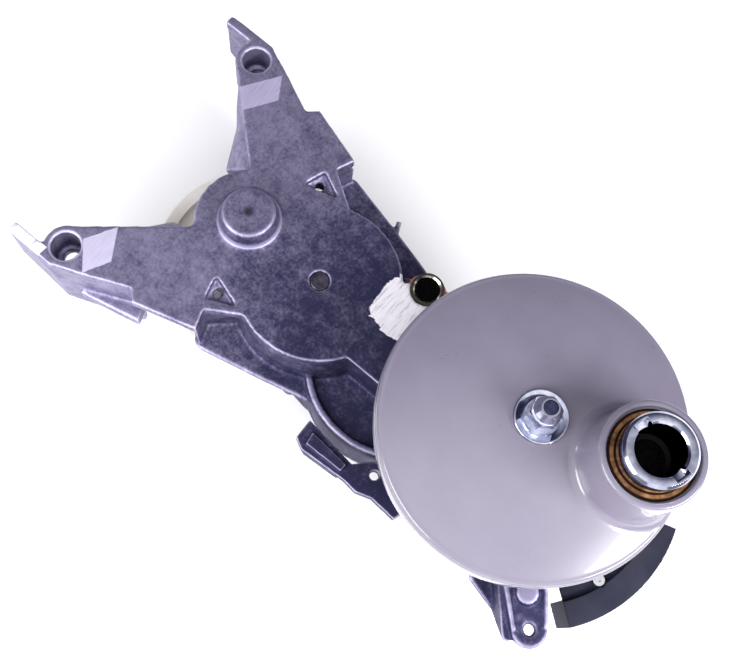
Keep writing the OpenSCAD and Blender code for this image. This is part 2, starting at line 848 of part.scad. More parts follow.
module cover_dowels() {
    color([0.6, 0.6, 0.62])
        for (p = cover_dowel_places)
            at(p, cover_z + 1.7) cylinder(r = 2, h = cover_t + gasket_t + 4);
}

// Ring sector between radii ra and rb, from angle a to b about the shroud's centre
module sector_2d(ra, rb, a, b) {
    reach = 1.2 * rb;
    translate(shroud_pos)
        intersection() {
            difference() {
                circle(rb);
                circle(ra);
            }
            polygon(concat([[0, 0]], [for (t = [0 : 4]) polar(reach, a + (b - a) * t / 4)]));
        }
}

module front_shroud() {
    inner = shroud_r - shroud_w;
    color([0.13, 0.13, 0.17])
        difference() {
            union() {
                translate([0, 0, shroud_z - shroud_h])
                    linear_extrude(shroud_h) sector_2d(inner, shroud_r, shroud_from, shroud_to);
                // Inner ledge that takes the screws
                translate([0, 0, shroud_ear_z - shroud_ear_t])
                    linear_extrude(shroud_ear_t)
                        sector_2d(inner - shroud_ledge, inner + 1.2, shroud_from + 1, shroud_to - 1);
            }
            // The shroud is a shell, open below
            translate([0, 0, shroud_z - shroud_h - eps])
                linear_extrude(shroud_h - 3)
                    sector_2d(inner + 2.4, shroud_r - 2.4, shroud_from + 2, shroud_to - 2);
            for (p = shroud_screw_places)
                at(p, shroud_ear_z - shroud_ear_t - 1)
                    cylinder(r = 1.6 + seat_gap, h = shroud_ear_t + 2);
            // Seats of the screws' heads
            for (p = shroud_screw_places)
                at(p, shroud_ear_z - eps) cylinder(r = 3.4, h = 10);
        }
}

module shroud_screws() {
    color([0.85, 0.85, 0.87])
        for (p = shroud_screw_places)
            at(p) screw(1.6, 11, shroud_ear_z);
}

bracket_outline = [
    [-54, 84.5], [-65.2, 84], [-68.2, 78], [-66.2, 52], [-67, 44], [-64.2, 36], [-65, 21],
    [-58, 19], [-50, 22], [-42, 26], [-42, 32], [-48.6, 38], [-49, 46], [-53, 50.5], [-57.4, 54]
];

module side_bracket() {
    color([0.46, 0.45, 0.54])
        difference() {
            translate([0, 0, bracket_z + 0.2]) {
                linear_extrude(bracket_t) polygon(bracket_outline);
                translate([0, 0, -8])
                    linear_extrude(8.1)
                        polygon([[-64, 80], [-67.6, 77.6], [-66, 56], [-62, 56]]);
                linear_extrude(bracket_t + 1.6)
                    polygon([[-58, 79], [-64.6, 78], [-64, 56], [-59.6, 56]]);
            }
            at(bracket_hole, bracket_z - 10) cylinder(r = 2.4, h = 30);
            at(bracket_screw_pos, bracket_z - 10) cylinder(r = 2 + seat_gap, h = 30);
            // Room for the case's round walls
            disc(hub_case_out + side_gap, 24, bracket_z - 10);
            at(idler_pos, bracket_z - 10) cylinder(r = lobe_2_out + side_gap, h = 24);
        }
}

module bracket_screw() {
    color([0.75, 0.75, 0.77])
        at(bracket_screw_pos) screw(2, bracket_t + 8, bracket_z + bracket_t + 0.2);
}

// ---- Planet hub ----

// Height of the domed face at radius r
function dome_z(r) =
    let (
        rise = hub_dome - hub_edge,
        reach = hub_r - 2.6 - washer_r,
        ball = (reach * reach + rise * rise) / (2 * rise),
        x = max(0, r - washer_r)
    )
    hub_dome - ball + sqrt(ball * ball - x * x);

module hub_shape() {
    face_r = hub_r - 2.6;
    rotate_extrude($fn = 128)
        polygon(concat(
            [[hub_seat_r, hub_foot_z], [19, hub_foot_z], [21, hub_ceiling]],
            [[hub_r - hub_wall, hub_ceiling], [hub_r - hub_wall, -hub_skirt]],
            [[hub_r - 0.5, -hub_skirt], [hub_r, -hub_skirt + 0.5], [hub_r, 0]],
            [[hub_r - 1.3, 0.2], [hub_r - 1.3, 1], [hub_r - 0.5, 1.2]],
            [for (t = [0 : 15 : 75]) [
                face_r + 2.1 * cos(t), hub_edge - 2.1 + 2.1 * sin(t)
            ]],
            [for (t = [0 : 12]) let (r = face_r + (washer_r - face_r) * t / 12) [r, dome_z(r)]],
            [[hub_seat_r, hub_dome]]
        ));
    at(orbit_pos, dome_z(orbit_r + tube_foot_r) - 1)
        cylinder(r1 = tube_foot_r, r2 = tube_r, h = tube_top - dome_z(orbit_r + tube_foot_r) + 1);
    at(orbit_pos, dome_z(orbit_r + tube_foot_r) - 1)
        cylinder(r1 = min(tube_foot_r + 3, hub_r - 0.8 - orbit_r), r2 = tube_foot_r - 0.5, h = 7);
    at(orbit_pos, -3.6) cylinder(r = 17, h = 8);
}

module planet_hub() {
    color([0.68, 0.65, 0.76])
        difference() {
            hub_shape();
            disc(hub_seat_r, 60, hub_foot_z - 1);
            at(orbit_pos, -4) cylinder(r = needle_r + seat_gap, h = tube_top);
            at(orbit_pos, bush_floor_z) cylinder(r = bush_r + seat_gap, h = tube_top);
            at(orbit_pos, tube_top - tube_mouth_depth) cylinder(r = tube_mouth_r, h = 20);
            translate([0, hub_seat_r - 1, hub_foot_z - 1])
                translate([-1.52, 0, 0]) cube([3.04, 3.02, hub_dome - hub_foot_z + 2]);
        }
}

module hub_key() {
    color([0.5, 0.5, 0.52])
        translate([-1.5, hub_seat_r - 1.8, hub_foot_z + 1]) cube([3, 3.7, 20]);
}

module hub_washer() {
    color([0.86, 0.87, 0.9])
        translate([0, 0, hub_dome])
            rotate_extrude()
                polygon([
                    [stud_r + 0.1, 0], [washer_r, 0], [washer_r, washer_t], [washer_r - 1, washer_t],
                    [nut_af * 0.62, washer_t - 1.2], [stud_r + 0.1, washer_t - 1.2]
                ]);
}

module hub_nut() {
    base = hub_dome + washer_t - 1.2;
    color([0.82, 0.83, 0.86])
        difference() {
            union() {
                rotate(12) hexagon(nut_af, nut_h, base);
                disc(nut_af * 0.6, 1.6, base);
                translate([0, 0, base + nut_h - 1])
                    cylinder(r1 = nut_af / 2, r2 = stud_r, h = nut_nose);
            }
            disc(stud_r - 0.9, nut_h + nut_nose + 10, base - 1);
        }
}

// ---- Output shaft body ----

module output_shaft() {
    stud_top = hub_dome + washer_t - 1.2 + nut_h + nut_nose - 1.6;
    color([0.62, 0.62, 0.65])
        difference() {
            union() {
                disc(output_shaft_r, hub_foot_z - shaft_foot_z, shaft_foot_z);
                disc(hub_seat_r - seat_gap, hub_dome - 1 - hub_foot_z, hub_foot_z);
                disc(stud_r - 1, stud_top - hub_dome + 1, hub_dome - 1);
            }
            translate([-1.52, hub_seat_r - 1.82, hub_foot_z + 0.9]) cube([3.04, 3, 20.2]);
            translate([-1.52, output_shaft_r - 1.82, level_c - 0.1]) cube([3.04, 3, face_bc + 0.2]);
            tube(output_shaft_r + 1, output_shaft_r - 0.8, 1.1, level_c + face_bc + 0.05);
        }
}

module main_gear() {
    color([0.8, 0.78, 0.7])
        difference() {
            spur(main_teeth, module_bc, face_bc, main_tooth_angle, level_c);
            disc(output_shaft_r + seat_gap, face_bc + 2, level_c - 1);
            translate([-1.52, output_shaft_r - 2, level_c - 1]) cube([3.04, 4, face_bc + 2]);
            for (a = [45 : 60 : 345])
                rotate(a) translate([25, 0, level_c - 1]) cylinder(r = 7, h = face_bc + 2);
        }
}

module gear_key() {
    color([0.5, 0.5, 0.52])
        translate([-1.5, output_shaft_r - 1.8, level_c]) cube([3, 3.7, face_bc]);
}

module output_circlip() {
    color([0.3, 0.3, 0.32])
        difference() {
            tube(output_shaft_r + 2.2, output_shaft_r - 0.8, 1, level_c + face_bc + 0.1);
            translate([-2, -16, level_c]) cube([4, 12, 20]);
        }
}

// ---- Planet shaft body ----

module planet_needle_bush() {
    color([0.7, 0.6, 0.4])
        at(orbit_pos) tube(needle_r, planet_shaft_r + run_gap, bush_floor_z + 2.4, -3.4);
}

module socket_bush() {
    color([0.72, 0.45, 0.25])
        at(orbit_pos)
            tube(bush_r, socket_r + run_gap, tube_top - 2 - bush_floor_z, bush_floor_z);
}

module planet_shaft() {
    color([0.62, 0.62, 0.65])
        at(orbit_pos)
            difference() {
                disc(planet_shaft_r, socket_floor_z - planet_foot_z, planet_foot_z);
                translate([0, 0, socket_pin_z]) rotate([0, 90, 0])
                    cylinder(r = 2 + seat_gap, h = 60, center = true);
                tube(planet_shaft_r + 1, planet_shaft_r - 0.8, 1.1, planet_pinion_z - 1.15);
            }
}

module planet_pinion() {
    color([0.62, 0.62, 0.64])
        at(orbit_pos)
            difference() {
                spur(planet_teeth, module_ring, planet_face, orbit_angle, planet_pinion_z);
                disc(planet_shaft_r + seat_gap, 30, planet_pinion_z - 1);
            }
}

module planet_circlip() {
    color([0.3, 0.3, 0.32])
        at(orbit_pos)
            difference() {
                tube(planet_shaft_r + 2, planet_shaft_r - 0.8, 1, planet_pinion_z - 1.1);
                translate([-1.5, -16, planet_foot_z - 1]) cube([3, 12, 4]);
            }
}

module tool_socket() {
    top = tube_top + socket_proud;
    color([0.85, 0.86, 0.9])
        at(orbit_pos)
            difference() {
                union() {
                    disc(socket_r, top - 1 - bush_floor_z - 0.6, bush_floor_z + 0.6);
                    translate([0, 0, top - 1]) cylinder(r1 = socket_r, r2 = socket_r - 1, h = 1);
                }
                disc(planet_shaft_r + seat_gap, 60, bush_floor_z);
                disc(socket_bore_r - 0.4, 60, socket_floor_z + 0.4);
                disc(socket_bore_r, 60, tube_top - 5.4);
                for (a = notch_angles)
                    rotate(a) translate([0, -notch_w / 2, top - 6])
                        cube([socket_r - 2.4, notch_w, 20]);
                translate([0, 0, socket_pin_z]) rotate([0, 90, 0])
                    cylinder(r = 2 + seat_gap, h = 60, center = true);
            }
}

module socket_pin() {
    color([0.6, 0.6, 0.62])
        at(orbit_pos, socket_pin_z) rotate([0, 90, 0]) cylinder(r = 2, h = 2 * socket_r - 2, center = true);
}

// ---- Intermediate and idler gears ----

module intermediate_gear() {
    color([0.88, 0.86, 0.8])
        at(intermediate_pos)
            difference() {
                spur(intermediate_teeth, module_a, face_a, angle_to(intermediate_pos, input_pos), level_a);
                disc(sleeve_a_r + seat_gap, 40, level_a - 1);
                for (a = [0 : 60 : 300])
                    rotate(a) translate([21, 0, level_a - 1]) cylinder(r = 6, h = face_a + 2);
            }
}

module intermediate_pinion() {
    color([0.6, 0.6, 0.63])
        at(intermediate_pos)
            difference() {
                union() {
                    spur(
                        intermediate_pinion_teeth, module_bc, face_bc,
                        angle_to(intermediate_pos, idler_pos) + 180 / intermediate_pinion_teeth, level_b
                    );
                    disc(sleeve_a_r, level_a + face_a + 0.5 - level_b, level_b);
                }
                disc(axle_r + run_gap, 60, level_b - 1);
            }
}

module intermediate_washers() {
    color([0.75, 0.7, 0.55])
        at(intermediate_pos) {
            tube(9, axle_r + run_gap, level_b - joint_z - 0.2 + gasket_t, joint_z - gasket_t + 0.1);
            tube(9, axle_r + run_gap, deck_z - deck_t - 0.2 - level_a - face_a - 0.5, level_a + face_a + 0.6);
        }
}

module idler_gear() {
    color([0.8, 0.78, 0.7])
        at(idler_pos)
            difference() {
                spur(idler_teeth, module_bc, face_bc, angle_to(idler_pos, intermediate_pos), level_b);
                disc(sleeve_b_r + seat_gap, 40, level_b - 1);
                for (a = [0 : 60 : 300])
                    rotate(a) translate([27, 0, level_b - 1]) cylinder(r = 7, h = face_bc + 2);
            }
}

module idler_pinion() {
    color([0.6, 0.6, 0.63])
        at(idler_pos)
            difference() {
                union() {
                    spur(
                        idler_pinion_teeth, module_bc, face_bc,
                        angle_to(idler_pos, [0, 0]) + 180 / idler_pinion_teeth, level_c
                    );
                    disc(sleeve_b_r, level_c - level_b + 1, level_b);
                }
                disc(axle_r + run_gap, 60, level_b - 1);
            }
}

module idler_washers() {
    color([0.75, 0.7, 0.55])
        at(idler_pos) {
            tube(9, axle_r + run_gap, level_b - joint_z - 0.2 + gasket_t, joint_z - gasket_t + 0.1);
            tube(9, axle_r + run_gap, 1.3, level_c + face_bc + 0.1);
        }
}

// ---- Input shaft body ----

module input_shaft() {
    color([0.62, 0.62, 0.65])
        at(input_pos) {
            disc(input_shaft_r, deck_z - deck_t + input_bearing_w - 0.2 - pulley_seat_z, pulley_seat_z);
            disc(4, pulley_seat_z - pulley_z - 0.6, pulley_z + 0.6);
        }
}

module input_pinion() {
    color([0.6, 0.6, 0.63])
        at(input_pos)
            difference() {
                union() {
                    spur(
                        input_teeth, module_a, face_a + 1,
                        angle_to(input_pos, intermediate_pos) + 180 / input_teeth, level_a - 0.5
                    );
                    disc(9, 4, level_a + face_a + 0.4);
                }
                disc(input_shaft_r + seat_gap, 60, level_a - 2);
            }
}

// Half profile of the belt pulley, from its bore outwards
module belt_pulley() {
    groove = (pulley_w - 5) / pulley_grooves;
    color([0.93, 0.92, 0.86])
        at(input_pos, pulley_z)
            difference() {
                rotate_extrude($fn = 128)
                    polygon(concat(
                        [[input_shaft_r + seat_gap, 5], [13, 5], [13, 8], [pulley_r - 7, 8], [pulley_r - 7, 0]],
                        [[pulley_r, 0], [pulley_r, 2.5]],
                        [for (k = [0 : pulley_grooves - 1]) each [
                            [pulley_r - 2.4, 2.5 + groove * (k + 0.5)],
                            [pulley_r - 0.4, 2.5 + groove * (k + 1)]
                        ]],
                        [[pulley_r, pulley_w - 2.5], [pulley_r, pulley_w - 0.8], [pulley_r - 0.8, pulley_w]],
                        [[pulley_r - 7, pulley_w], [pulley_r - 7, 12], [13, 12]],
                        [[13, pulley_w + 2], [input_shaft_r + seat_gap, pulley_w + 2]]
                    ));
                for (a = [0 : 60 : 300])
                    rotate(a) translate([31, 0, -1]) cylinder(r = 9, h = pulley_w + 4);
            }
}

module pulley_washer() {
    color([0.75, 0.75, 0.77])
        at(input_pos) tube(10, 4 + seat_gap, 1.4, pulley_seat_z - 1.4);
}

module pulley_nut() {
    color([0.75, 0.75, 0.77])
        at(input_pos)
            difference() {
                hexagon(nut_af, 3, pulley_seat_z - 4.4);
                disc(4 + seat_gap, 20, pulley_z - 2);
            }
}

gear_case();
rear_cover();
cover_gasket();
cover_screws();
cover_dowels();
ring_gear();
ring_gear_screws();
output_bearing_front();
output_bearing_rear();
output_seal();
input_bearing_front();
input_bearing_rear();
input_seal();
intermediate_axle();
idler_axle();
locating_bush();
copper_ring();
front_shroud();
shroud_screws();
side_bracket();
bracket_screw();
planet_hub();
hub_key();
hub_washer();
hub_nut();
output_shaft();
main_gear();
gear_key();
output_circlip();
planet_needle_bush();
socket_bush();
planet_shaft();
planet_pinion();
planet_circlip();
tool_socket();
socket_pin();
intermediate_gear();
intermediate_pinion();
intermediate_washers();
idler_gear();
idler_pinion();
idler_washers();
input_shaft();
input_pinion();
belt_pulley();
pulley_washer();
pulley_nut();
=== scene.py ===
# %% [markdown]
# # Dressing a mixer gearbox for the studio
#
# The object is the gearbox out of the head of a heavy stand mixer: a die-cast
# case with two long arms, a lacquered hub disc that carries the tool socket
# off centre, and a belt pulley underneath. Its solids come from a CAD model
# and are never moved. This lesson gives them finishes, and swaps the pieces
# that need softer shapes for meshes of its own.

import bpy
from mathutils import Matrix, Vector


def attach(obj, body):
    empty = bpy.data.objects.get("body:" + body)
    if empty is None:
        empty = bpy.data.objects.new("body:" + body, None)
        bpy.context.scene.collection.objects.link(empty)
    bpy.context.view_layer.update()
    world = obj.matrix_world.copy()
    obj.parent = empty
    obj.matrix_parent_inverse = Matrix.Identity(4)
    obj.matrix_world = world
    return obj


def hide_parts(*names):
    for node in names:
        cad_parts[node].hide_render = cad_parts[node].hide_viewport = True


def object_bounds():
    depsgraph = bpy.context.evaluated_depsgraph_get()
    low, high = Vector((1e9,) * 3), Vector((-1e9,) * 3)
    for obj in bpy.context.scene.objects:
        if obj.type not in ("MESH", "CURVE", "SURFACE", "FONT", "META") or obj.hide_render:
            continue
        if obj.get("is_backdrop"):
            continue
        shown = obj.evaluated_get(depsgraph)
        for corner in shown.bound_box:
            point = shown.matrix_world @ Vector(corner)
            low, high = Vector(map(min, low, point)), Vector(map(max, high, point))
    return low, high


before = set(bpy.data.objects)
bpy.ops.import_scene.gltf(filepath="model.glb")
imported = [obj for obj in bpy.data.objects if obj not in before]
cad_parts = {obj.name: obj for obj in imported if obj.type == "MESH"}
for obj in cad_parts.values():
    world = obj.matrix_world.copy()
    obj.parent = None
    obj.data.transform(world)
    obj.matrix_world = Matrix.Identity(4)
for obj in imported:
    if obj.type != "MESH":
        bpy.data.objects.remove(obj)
cad_box = [list(corner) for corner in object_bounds()]

# %% Tools of the trade
import math

import bmesh
import bpy
from mathutils import Matrix, Vector

MM = 0.001
box_size_mm = [round((high - low) / MM, 1) for low, high in zip(*cad_box)]
print("the CAD box measures", box_size_mm, "mm")

# %% [markdown]
# ## The camera
#
# The camera comes first, because every later choice is judged through it.
# It looks steeply down on the hub, a little from the front left, with a
# normal lens. Its three axes are written as directions, which is easier to
# check than three angles.

# %% Set up the camera
RIGHT = Vector((0.6392, -0.7658, 0.0701))
UP = Vector((0.7209, 0.6284, 0.2923))
BACK = RIGHT.cross(UP)
CAMERA_PLACE = Vector((-139.51, 21.85, 442.36))

camera_data = bpy.data.cameras.new("studio_camera")
camera_data.lens = 49.84
camera_data.sensor_width = 36
camera_data.clip_start = 0.01
camera = bpy.data.objects.new("studio_camera", camera_data)
bpy.context.scene.collection.objects.link(camera)
turn = Matrix((RIGHT, UP, BACK)).transposed().to_4x4()
camera.matrix_world = Matrix.Translation(CAMERA_PLACE * MM) @ turn
bpy.context.scene.camera = camera
bpy.context.scene.view_settings.view_transform = "Standard"
print("camera looks along", [round(c, 3) for c in -BACK])

# %% [markdown]
# ## Shader sums written as Python
#
# A finish is a sum of small effects: mottling plus pits plus tool marks.
# Drawn by hand that is a web of nodes. A small class that wraps a socket and
# overloads the operators lets the sum be written as a sum. Colours and
# vectors have methods of their own, because a Math node would turn a colour
# grey.

# %% A value inside a shader
class Value:
    """One output socket, with arithmetic that adds Math nodes."""

    def __init__(self, tree, socket):
        self.tree, self.socket = tree, socket

    def node(self, kind, settings=None, inputs=None, output=0):
        return add_node(self.tree, kind, settings, inputs, output)

    def math(self, operation, *terms):
        return self.node("ShaderNodeMath", {"operation": operation}, dict(enumerate(terms)))

    def __add__(self, other):
        return self.math("ADD", self, other)

    def __radd__(self, other):
        return self.math("ADD", other, self)

    def __sub__(self, other):
        return self.math("SUBTRACT", self, other)

    def __rsub__(self, other):
        return self.math("SUBTRACT", other, self)

    def __mul__(self, other):
        return self.math("MULTIPLY", self, other)

    def __rmul__(self, other):
        return self.math("MULTIPLY", other, self)

    def at_most(self, other):
        return self.math("MINIMUM", self, other)

    def at_least(self, other):
        return self.math("MAXIMUM", self, other)

    def step(self, low, high):
        """0 below low, 1 above high, and a soft edge between."""
        settings = {"interpolation_type": "SMOOTHSTEP"}
        return self.node("ShaderNodeMapRange", settings, {"Value": self, "From Min": low, "From Max": high})

    def mix(self, first, second):
        """The colour first where this value is 0, second where it is 1."""
        inputs = {0: self, 6: first, 7: second}
        return self.node("ShaderNodeMix", {"data_type": "RGBA"}, inputs, output=2)

    def vector(self, operation, other=(0, 0, 0), scale=None, output=0):
        inputs = {0: self, 1: other}
        if scale is not None:
            inputs[3] = scale
        return self.node("ShaderNodeVectorMath", {"operation": operation}, inputs, output)

    def part(self, axis):
        """The X, Y or Z of a vector."""
        return self.node("ShaderNodeSeparateXYZ", None, {0: self}, output="XYZ".index(axis))


# %% One way to add any node
def add_node(tree, kind, settings=None, inputs=None, output=0):
    """Adds a node, sets its settings, then its sockets' values or links."""
    made = tree.nodes.new(kind)
    for name, setting in (settings or {}).items():
        setattr(made, name, setting)
    for name, value in (inputs or {}).items():
        socket = made.inputs[name]
        if isinstance(value, Value):
            tree.links.new(value.socket, socket)
        elif socket.type == "RGBA":
            socket.default_value = (*value[:3], 1)
        else:
            socket.default_value = value
    return Value(tree, made.outputs[output])


print("shader sums ready")

# %% [markdown]
# ## A finish is a material with a place
#
# Every finish starts from the point being shaded, in millimetres of the
# object's own frame. A grain of 2 mm is then written as 2, and a milled pad
# can be placed by the same coordinates as in the drawing.

# %% Start a finish
class Finish:
    """A new material with one Principled shader and the point in mm."""

    def __init__(self, name, metallic=0.0, roughness=0.5, **constants):
        self.material = bpy.data.materials.new(name)
        self.material.use_nodes = True
        self.tree = self.material.node_tree
        self.shader = self.tree.nodes["Principled BSDF"]
        self.set("Metallic", metallic)
        self.set("Roughness", roughness)
        for socket, value in constants.items():
            self.set(socket.replace("_", " "), value)
        self.point = add_node(self.tree, "ShaderNodeTexCoord", output=3).vector("SCALE", scale=1 / MM)

    def set(self, socket, value):
        target = self.shader.inputs[socket]
        if isinstance(value, Value):
            self.tree.links.new(value.socket, target)
        elif target.type == "RGBA":
            target.default_value = (*value[:3], 1)
        else:
            target.default_value = value

    def noise(self, size, detail=2.0, roughness=0.5, where=None, stretch=None):
        """Soft noise with blobs about this many mm across, from 0 to 1."""
        place = self.point if where is None else where
        if stretch is not None:
            place = place.vector("MULTIPLY", stretch)
        inputs = {"Vector": place, "Scale": 1 / size, "Detail": detail, "Roughness": roughness}
        return place.node("ShaderNodeTexNoise", None, inputs)

    def bump(self, height, depth_mm):
        """Raises the surface by height times depth_mm."""
        inputs = {"Height": height, "Distance": depth_mm * MM, "Strength": 1.0}
        self.set("Normal", self.point.node("ShaderNodeBump", None, inputs))

    def inside(self, corners, soft=0.3, where=None):
        """1 inside a convex outline in X and Y, given anticlockwise."""
        place = self.point if where is None else where
        x, y = place.part("X"), place.part("Y")
        nearest = None
        for (ax, ay), (bx, by) in zip(corners, corners[1:] + corners[:1]):
            length = math.hypot(bx - ax, by - ay)
            nx, ny = (ay - by) / length, (bx - ax) / length
            distance = x * nx + y * ny - (ax * nx + ay * ny)
            nearest = distance if nearest is None else nearest.at_most(distance)
        return nearest.step(-soft, soft)

    def ring(self, centre, low, high, soft=0.15):
        """1 between two radii round a vertical axis."""
        offset = self.point.vector("SUBTRACT", (*centre, 0)).vector("MULTIPLY", (1, 1, 0))
        radius = offset.vector("LENGTH", output=1)
        return radius.step(low - soft, low + soft) * (1 - radius.step(high - soft, high + soft))

    def edges(self, low=0.505, high=0.53):
        """1 on outward edges, from the mesh's own curvature."""
        return self.point.node("ShaderNodeNewGeometry", output=7).step(low, high)

    def above(self, level, soft=0.15):
        """1 above this height in mm."""
        return self.point.part("Z").step(level - soft, level + soft)


def wear(node_name, finish):
    """Gives a CAD node a finish."""
    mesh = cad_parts[node_name].data
    mesh.materials.clear()
    mesh.materials.append(finish.material)


print("finishes ready")

# %% [markdown]
# ## Cast aluminium
#
# The case, its cover and the side bracket are die cast. The skin is darker
# and lighter in clouds where the metal chilled at different speeds, with a
# fine grain and a few pits. A rough metal shader gives the broad, soft
# highlights. The clouds change the colour and the roughness together, so the
# dark patches also look drier. The skin is paler towards the arms, and the
# outward edges carry a painted highlight in pale lilac.

# %% The casting's skin
DARK_SKIN = (0.03, 0.029, 0.078)
LIGHT_SKIN = (0.3, 0.28, 0.42)
# painted highlight colour, used on the edges and on two rings of the case
PAINTED_HIGHLIGHT = (0.5, 0.46, 0.66)
PIT_SKIN = (0.03, 0.027, 0.05)


def cast_skin(name):
    """A finish with the casting's tone and roughness, its colour and its height."""
    finish = Finish(name, metallic=0.8)
    clouds = finish.noise(26, detail=5, roughness=0.62)
    streaks = finish.noise(7, detail=4, roughness=0.7, stretch=(1, 0.45, 1))
    grain = finish.noise(1.7, detail=4, roughness=0.75)
    far_out = finish.point.vector("MULTIPLY", (1, 1, 0)).vector("LENGTH", output=1).step(80, 220)
    blotches = finish.noise(5, detail=3, roughness=0.6)
    mottle = clouds * 0.24 + streaks * 0.22 + blotches * 0.2 + grain * 0.34
    tone = (mottle + far_out * 0.19 - 0.115).step(0.36, 0.7)
    pits = finish.noise(2.6, detail=1).step(0.74, 0.8)
    colour = (pits * 0.55).mix(tone.mix(DARK_SKIN, LIGHT_SKIN), PIT_SKIN)
    # painted highlight along the outward edges, broken up by the streaks
    painted_edge_highlight = finish.edges(0.508, 0.548) * (streaks * 1.6 - 0.1).at_least(0.0).at_most(1.0)
    colour = painted_edge_highlight.mix(colour, PAINTED_HIGHLIGHT)
    finish.set("Roughness", 0.56 - tone * 0.14 + grain * 0.08)
    return finish, colour, grain * 0.5 + streaks * 0.5 - pits * 0.6


cover_skin, cover_colour, cover_height = cast_skin("cast_aluminium")
cover_skin.set("Base Color", cover_colour)
cover_skin.bump(cover_height, 0.16)
print("cast skin made:", cover_skin.material.name)

# %% [markdown]
# ## Milled pads on the casting
#
# After casting, a cutter skims the faces that must be flat: one pad on each
# arm beside its ear, the top of the left arm's blade, and the face round the
# locating bush, where the cutter ran out and left a ragged edge. A milled
# face is bright and shows fine parallel lines. Each pad is an outline in the
# drawing's coordinates. Its edge is shaken by noise, so it isn't a cut-out.
# Small milled rings mark the ears' rims. A painted highlight rings the foot
# of the input boss and the lug's pad, and painted shade darkens the floor
# under the bush.

# %% The case's own finish
DECK_LEVEL = -34.0
EAR_X, EAR_Y, EAR_BORE_R = 70.5, 230, 7.3
BOSS, BUSH, LUG = (0, 171.8), (30.5, 80.3), (-53.5, -48.2)
BUSH_BORE_R = 7.4
# near-black, used for painted shade on the floor under the bush and for the boss's centre mark
SHADE_AND_MARK_BLACK = (0.004, 0.004, 0.006)
case_skin, case_colour, case_height = cast_skin("cast_case_skin")


def milled(outlines, ragged=0.0):
    """Mask of milled faces at the top of the deck."""
    place = case_skin.point
    if ragged:
        shake = case_skin.noise(2.2, detail=3, stretch=(1, 0.35, 1)) - 0.5
        shift = shake.node("ShaderNodeCombineXYZ", None, {0: shake * ragged, 1: shake * ragged * 0.4})
        place = place.vector("ADD", shift)
    mask = None
    for outline in outlines:
        here = case_skin.inside(outline, soft=0.25, where=place)
        mask = here if mask is None else mask.at_least(here)
    return mask * case_skin.above(DECK_LEVEL - 1.2)


# %% Place the pads
right_pad = [(52.9, 225.7), (43.6, 215.4), (60.2, 205.4), (72.6, 213.6)]
left_pad = [(-46.3, 217.8), (-62.3, 226.0), (-75.2, 214.0), (-62.0, 207.4)]
blade_top = [(-77, 236.2), (-77.4, 258.4), (-83, 258.4), (-83.2, 236.5)]
bush_face = [(0.0, 60.0), (42.0, 60.0), (42.0, 87.0), (34.0, 92.6), (20.5, 98.0), (3.0, 96.0), (-1.0, 88.0)]
pads = milled([right_pad, left_pad], ragged=1.2)
blade = milled([blade_top], ragged=0.6)
bush_pad = milled([bush_face], ragged=9.0)
ear_rims = None
for side in (-1, 1):
    rim = case_skin.ring((side * EAR_X, EAR_Y), EAR_BORE_R - 0.1, EAR_BORE_R + 1.3)
    rim = rim * case_skin.above(DECK_LEVEL - 0.6)
    ear_rims = rim if ear_rims is None else ear_rims.at_least(rim)
print("milled faces placed")

# %% Colour and cut marks of the milled faces
lines = case_skin.noise(0.9, detail=2, stretch=(0.12, 1.6, 1))
bright = (lines * 0.7 + case_skin.noise(9, detail=2) * 0.3).step(0.3, 0.7)
scratches = case_skin.noise(2.6, detail=4, roughness=0.65, stretch=(0.22, 1.5, 1)).step(0.26, 0.52)
# painted light: the pads on the left arm are made lighter, as the light falls brighter there
left_pad_painted_light = 1 - case_skin.point.part("X").step(-30, 0)
pad_colour = (bright * 0.3 + left_pad_painted_light * 0.5 + 0.1).mix((0.3, 0.27, 0.42), (0.62, 0.58, 0.75))
face_colour = (scratches * 0.8 + bright * 0.2).mix((0.4, 0.37, 0.54), (1.0, 0.98, 1.0))
white_faces = bush_pad.at_least(blade)
all_milled = pads.at_least(white_faces).at_least(ear_rims * 0.6)
skin_colour = all_milled.mix(case_colour, white_faces.mix(pad_colour, face_colour))
# painted shade: the floor of the bore under the locating bush is made near-black
bush_bore_shade = case_skin.ring(BUSH, -1, BUSH_BORE_R) * (1 - case_skin.above(DECK_LEVEL - 8, 2.0))
boss_mark = case_skin.ring(BOSS, -1, 2.4, soft=1.6) * case_skin.above(DECK_LEVEL + 6) * 0.8
# painted highlights: pale rings at the foot of the input boss and on the lug's pad
boss_rim_highlight = case_skin.ring(BOSS, 15.2, 16.4, soft=0.4) * case_skin.above(DECK_LEVEL + 0.2)
lug_ring_highlight = case_skin.ring(LUG, -1, 4.6, soft=0.5) * case_skin.above(DECK_LEVEL - 4.5)
skin_colour = (boss_rim_highlight * 0.8).at_least(lug_ring_highlight * 0.45).mix(skin_colour, PAINTED_HIGHLIGHT)
case_skin.set("Base Color", bush_bore_shade.at_least(boss_mark).mix(skin_colour, SHADE_AND_MARK_BLACK))
case_skin.set("Metallic", 0.8 - all_milled * 0.35)
case_skin.bump(case_height * (1 - all_milled) + lines * white_faces * 0.3, 0.16)
print("case finish made:", case_skin.material.name)

# %% [markdown]
# ## Softening a casting
#
# A die-cast part has no sharp edges: every edge has a radius of a
# millimetre or two, and that radius is what catches the light. The CAD solid
# has sharp edges. Bevelling hundreds of crossing edges breaks down, so the
# solid is remeshed into small cells and relaxed, which rounds every edge by
# about the same amount, as the foundry does. The smoothed copy then stands
# for the CAD solid.

# %% A helper that rounds a whole casting
def evaluated(obj):
    """A new mesh with the object's modifiers worked in."""
    graph = bpy.context.evaluated_depsgraph_get()
    return bpy.data.meshes.new_from_object(obj.evaluated_get(graph))


def keep_result(obj):
    """Replaces an object's mesh by its evaluated one."""
    mesh = evaluated(obj)
    obj.modifiers.clear()
    obj.data = mesh
    return obj


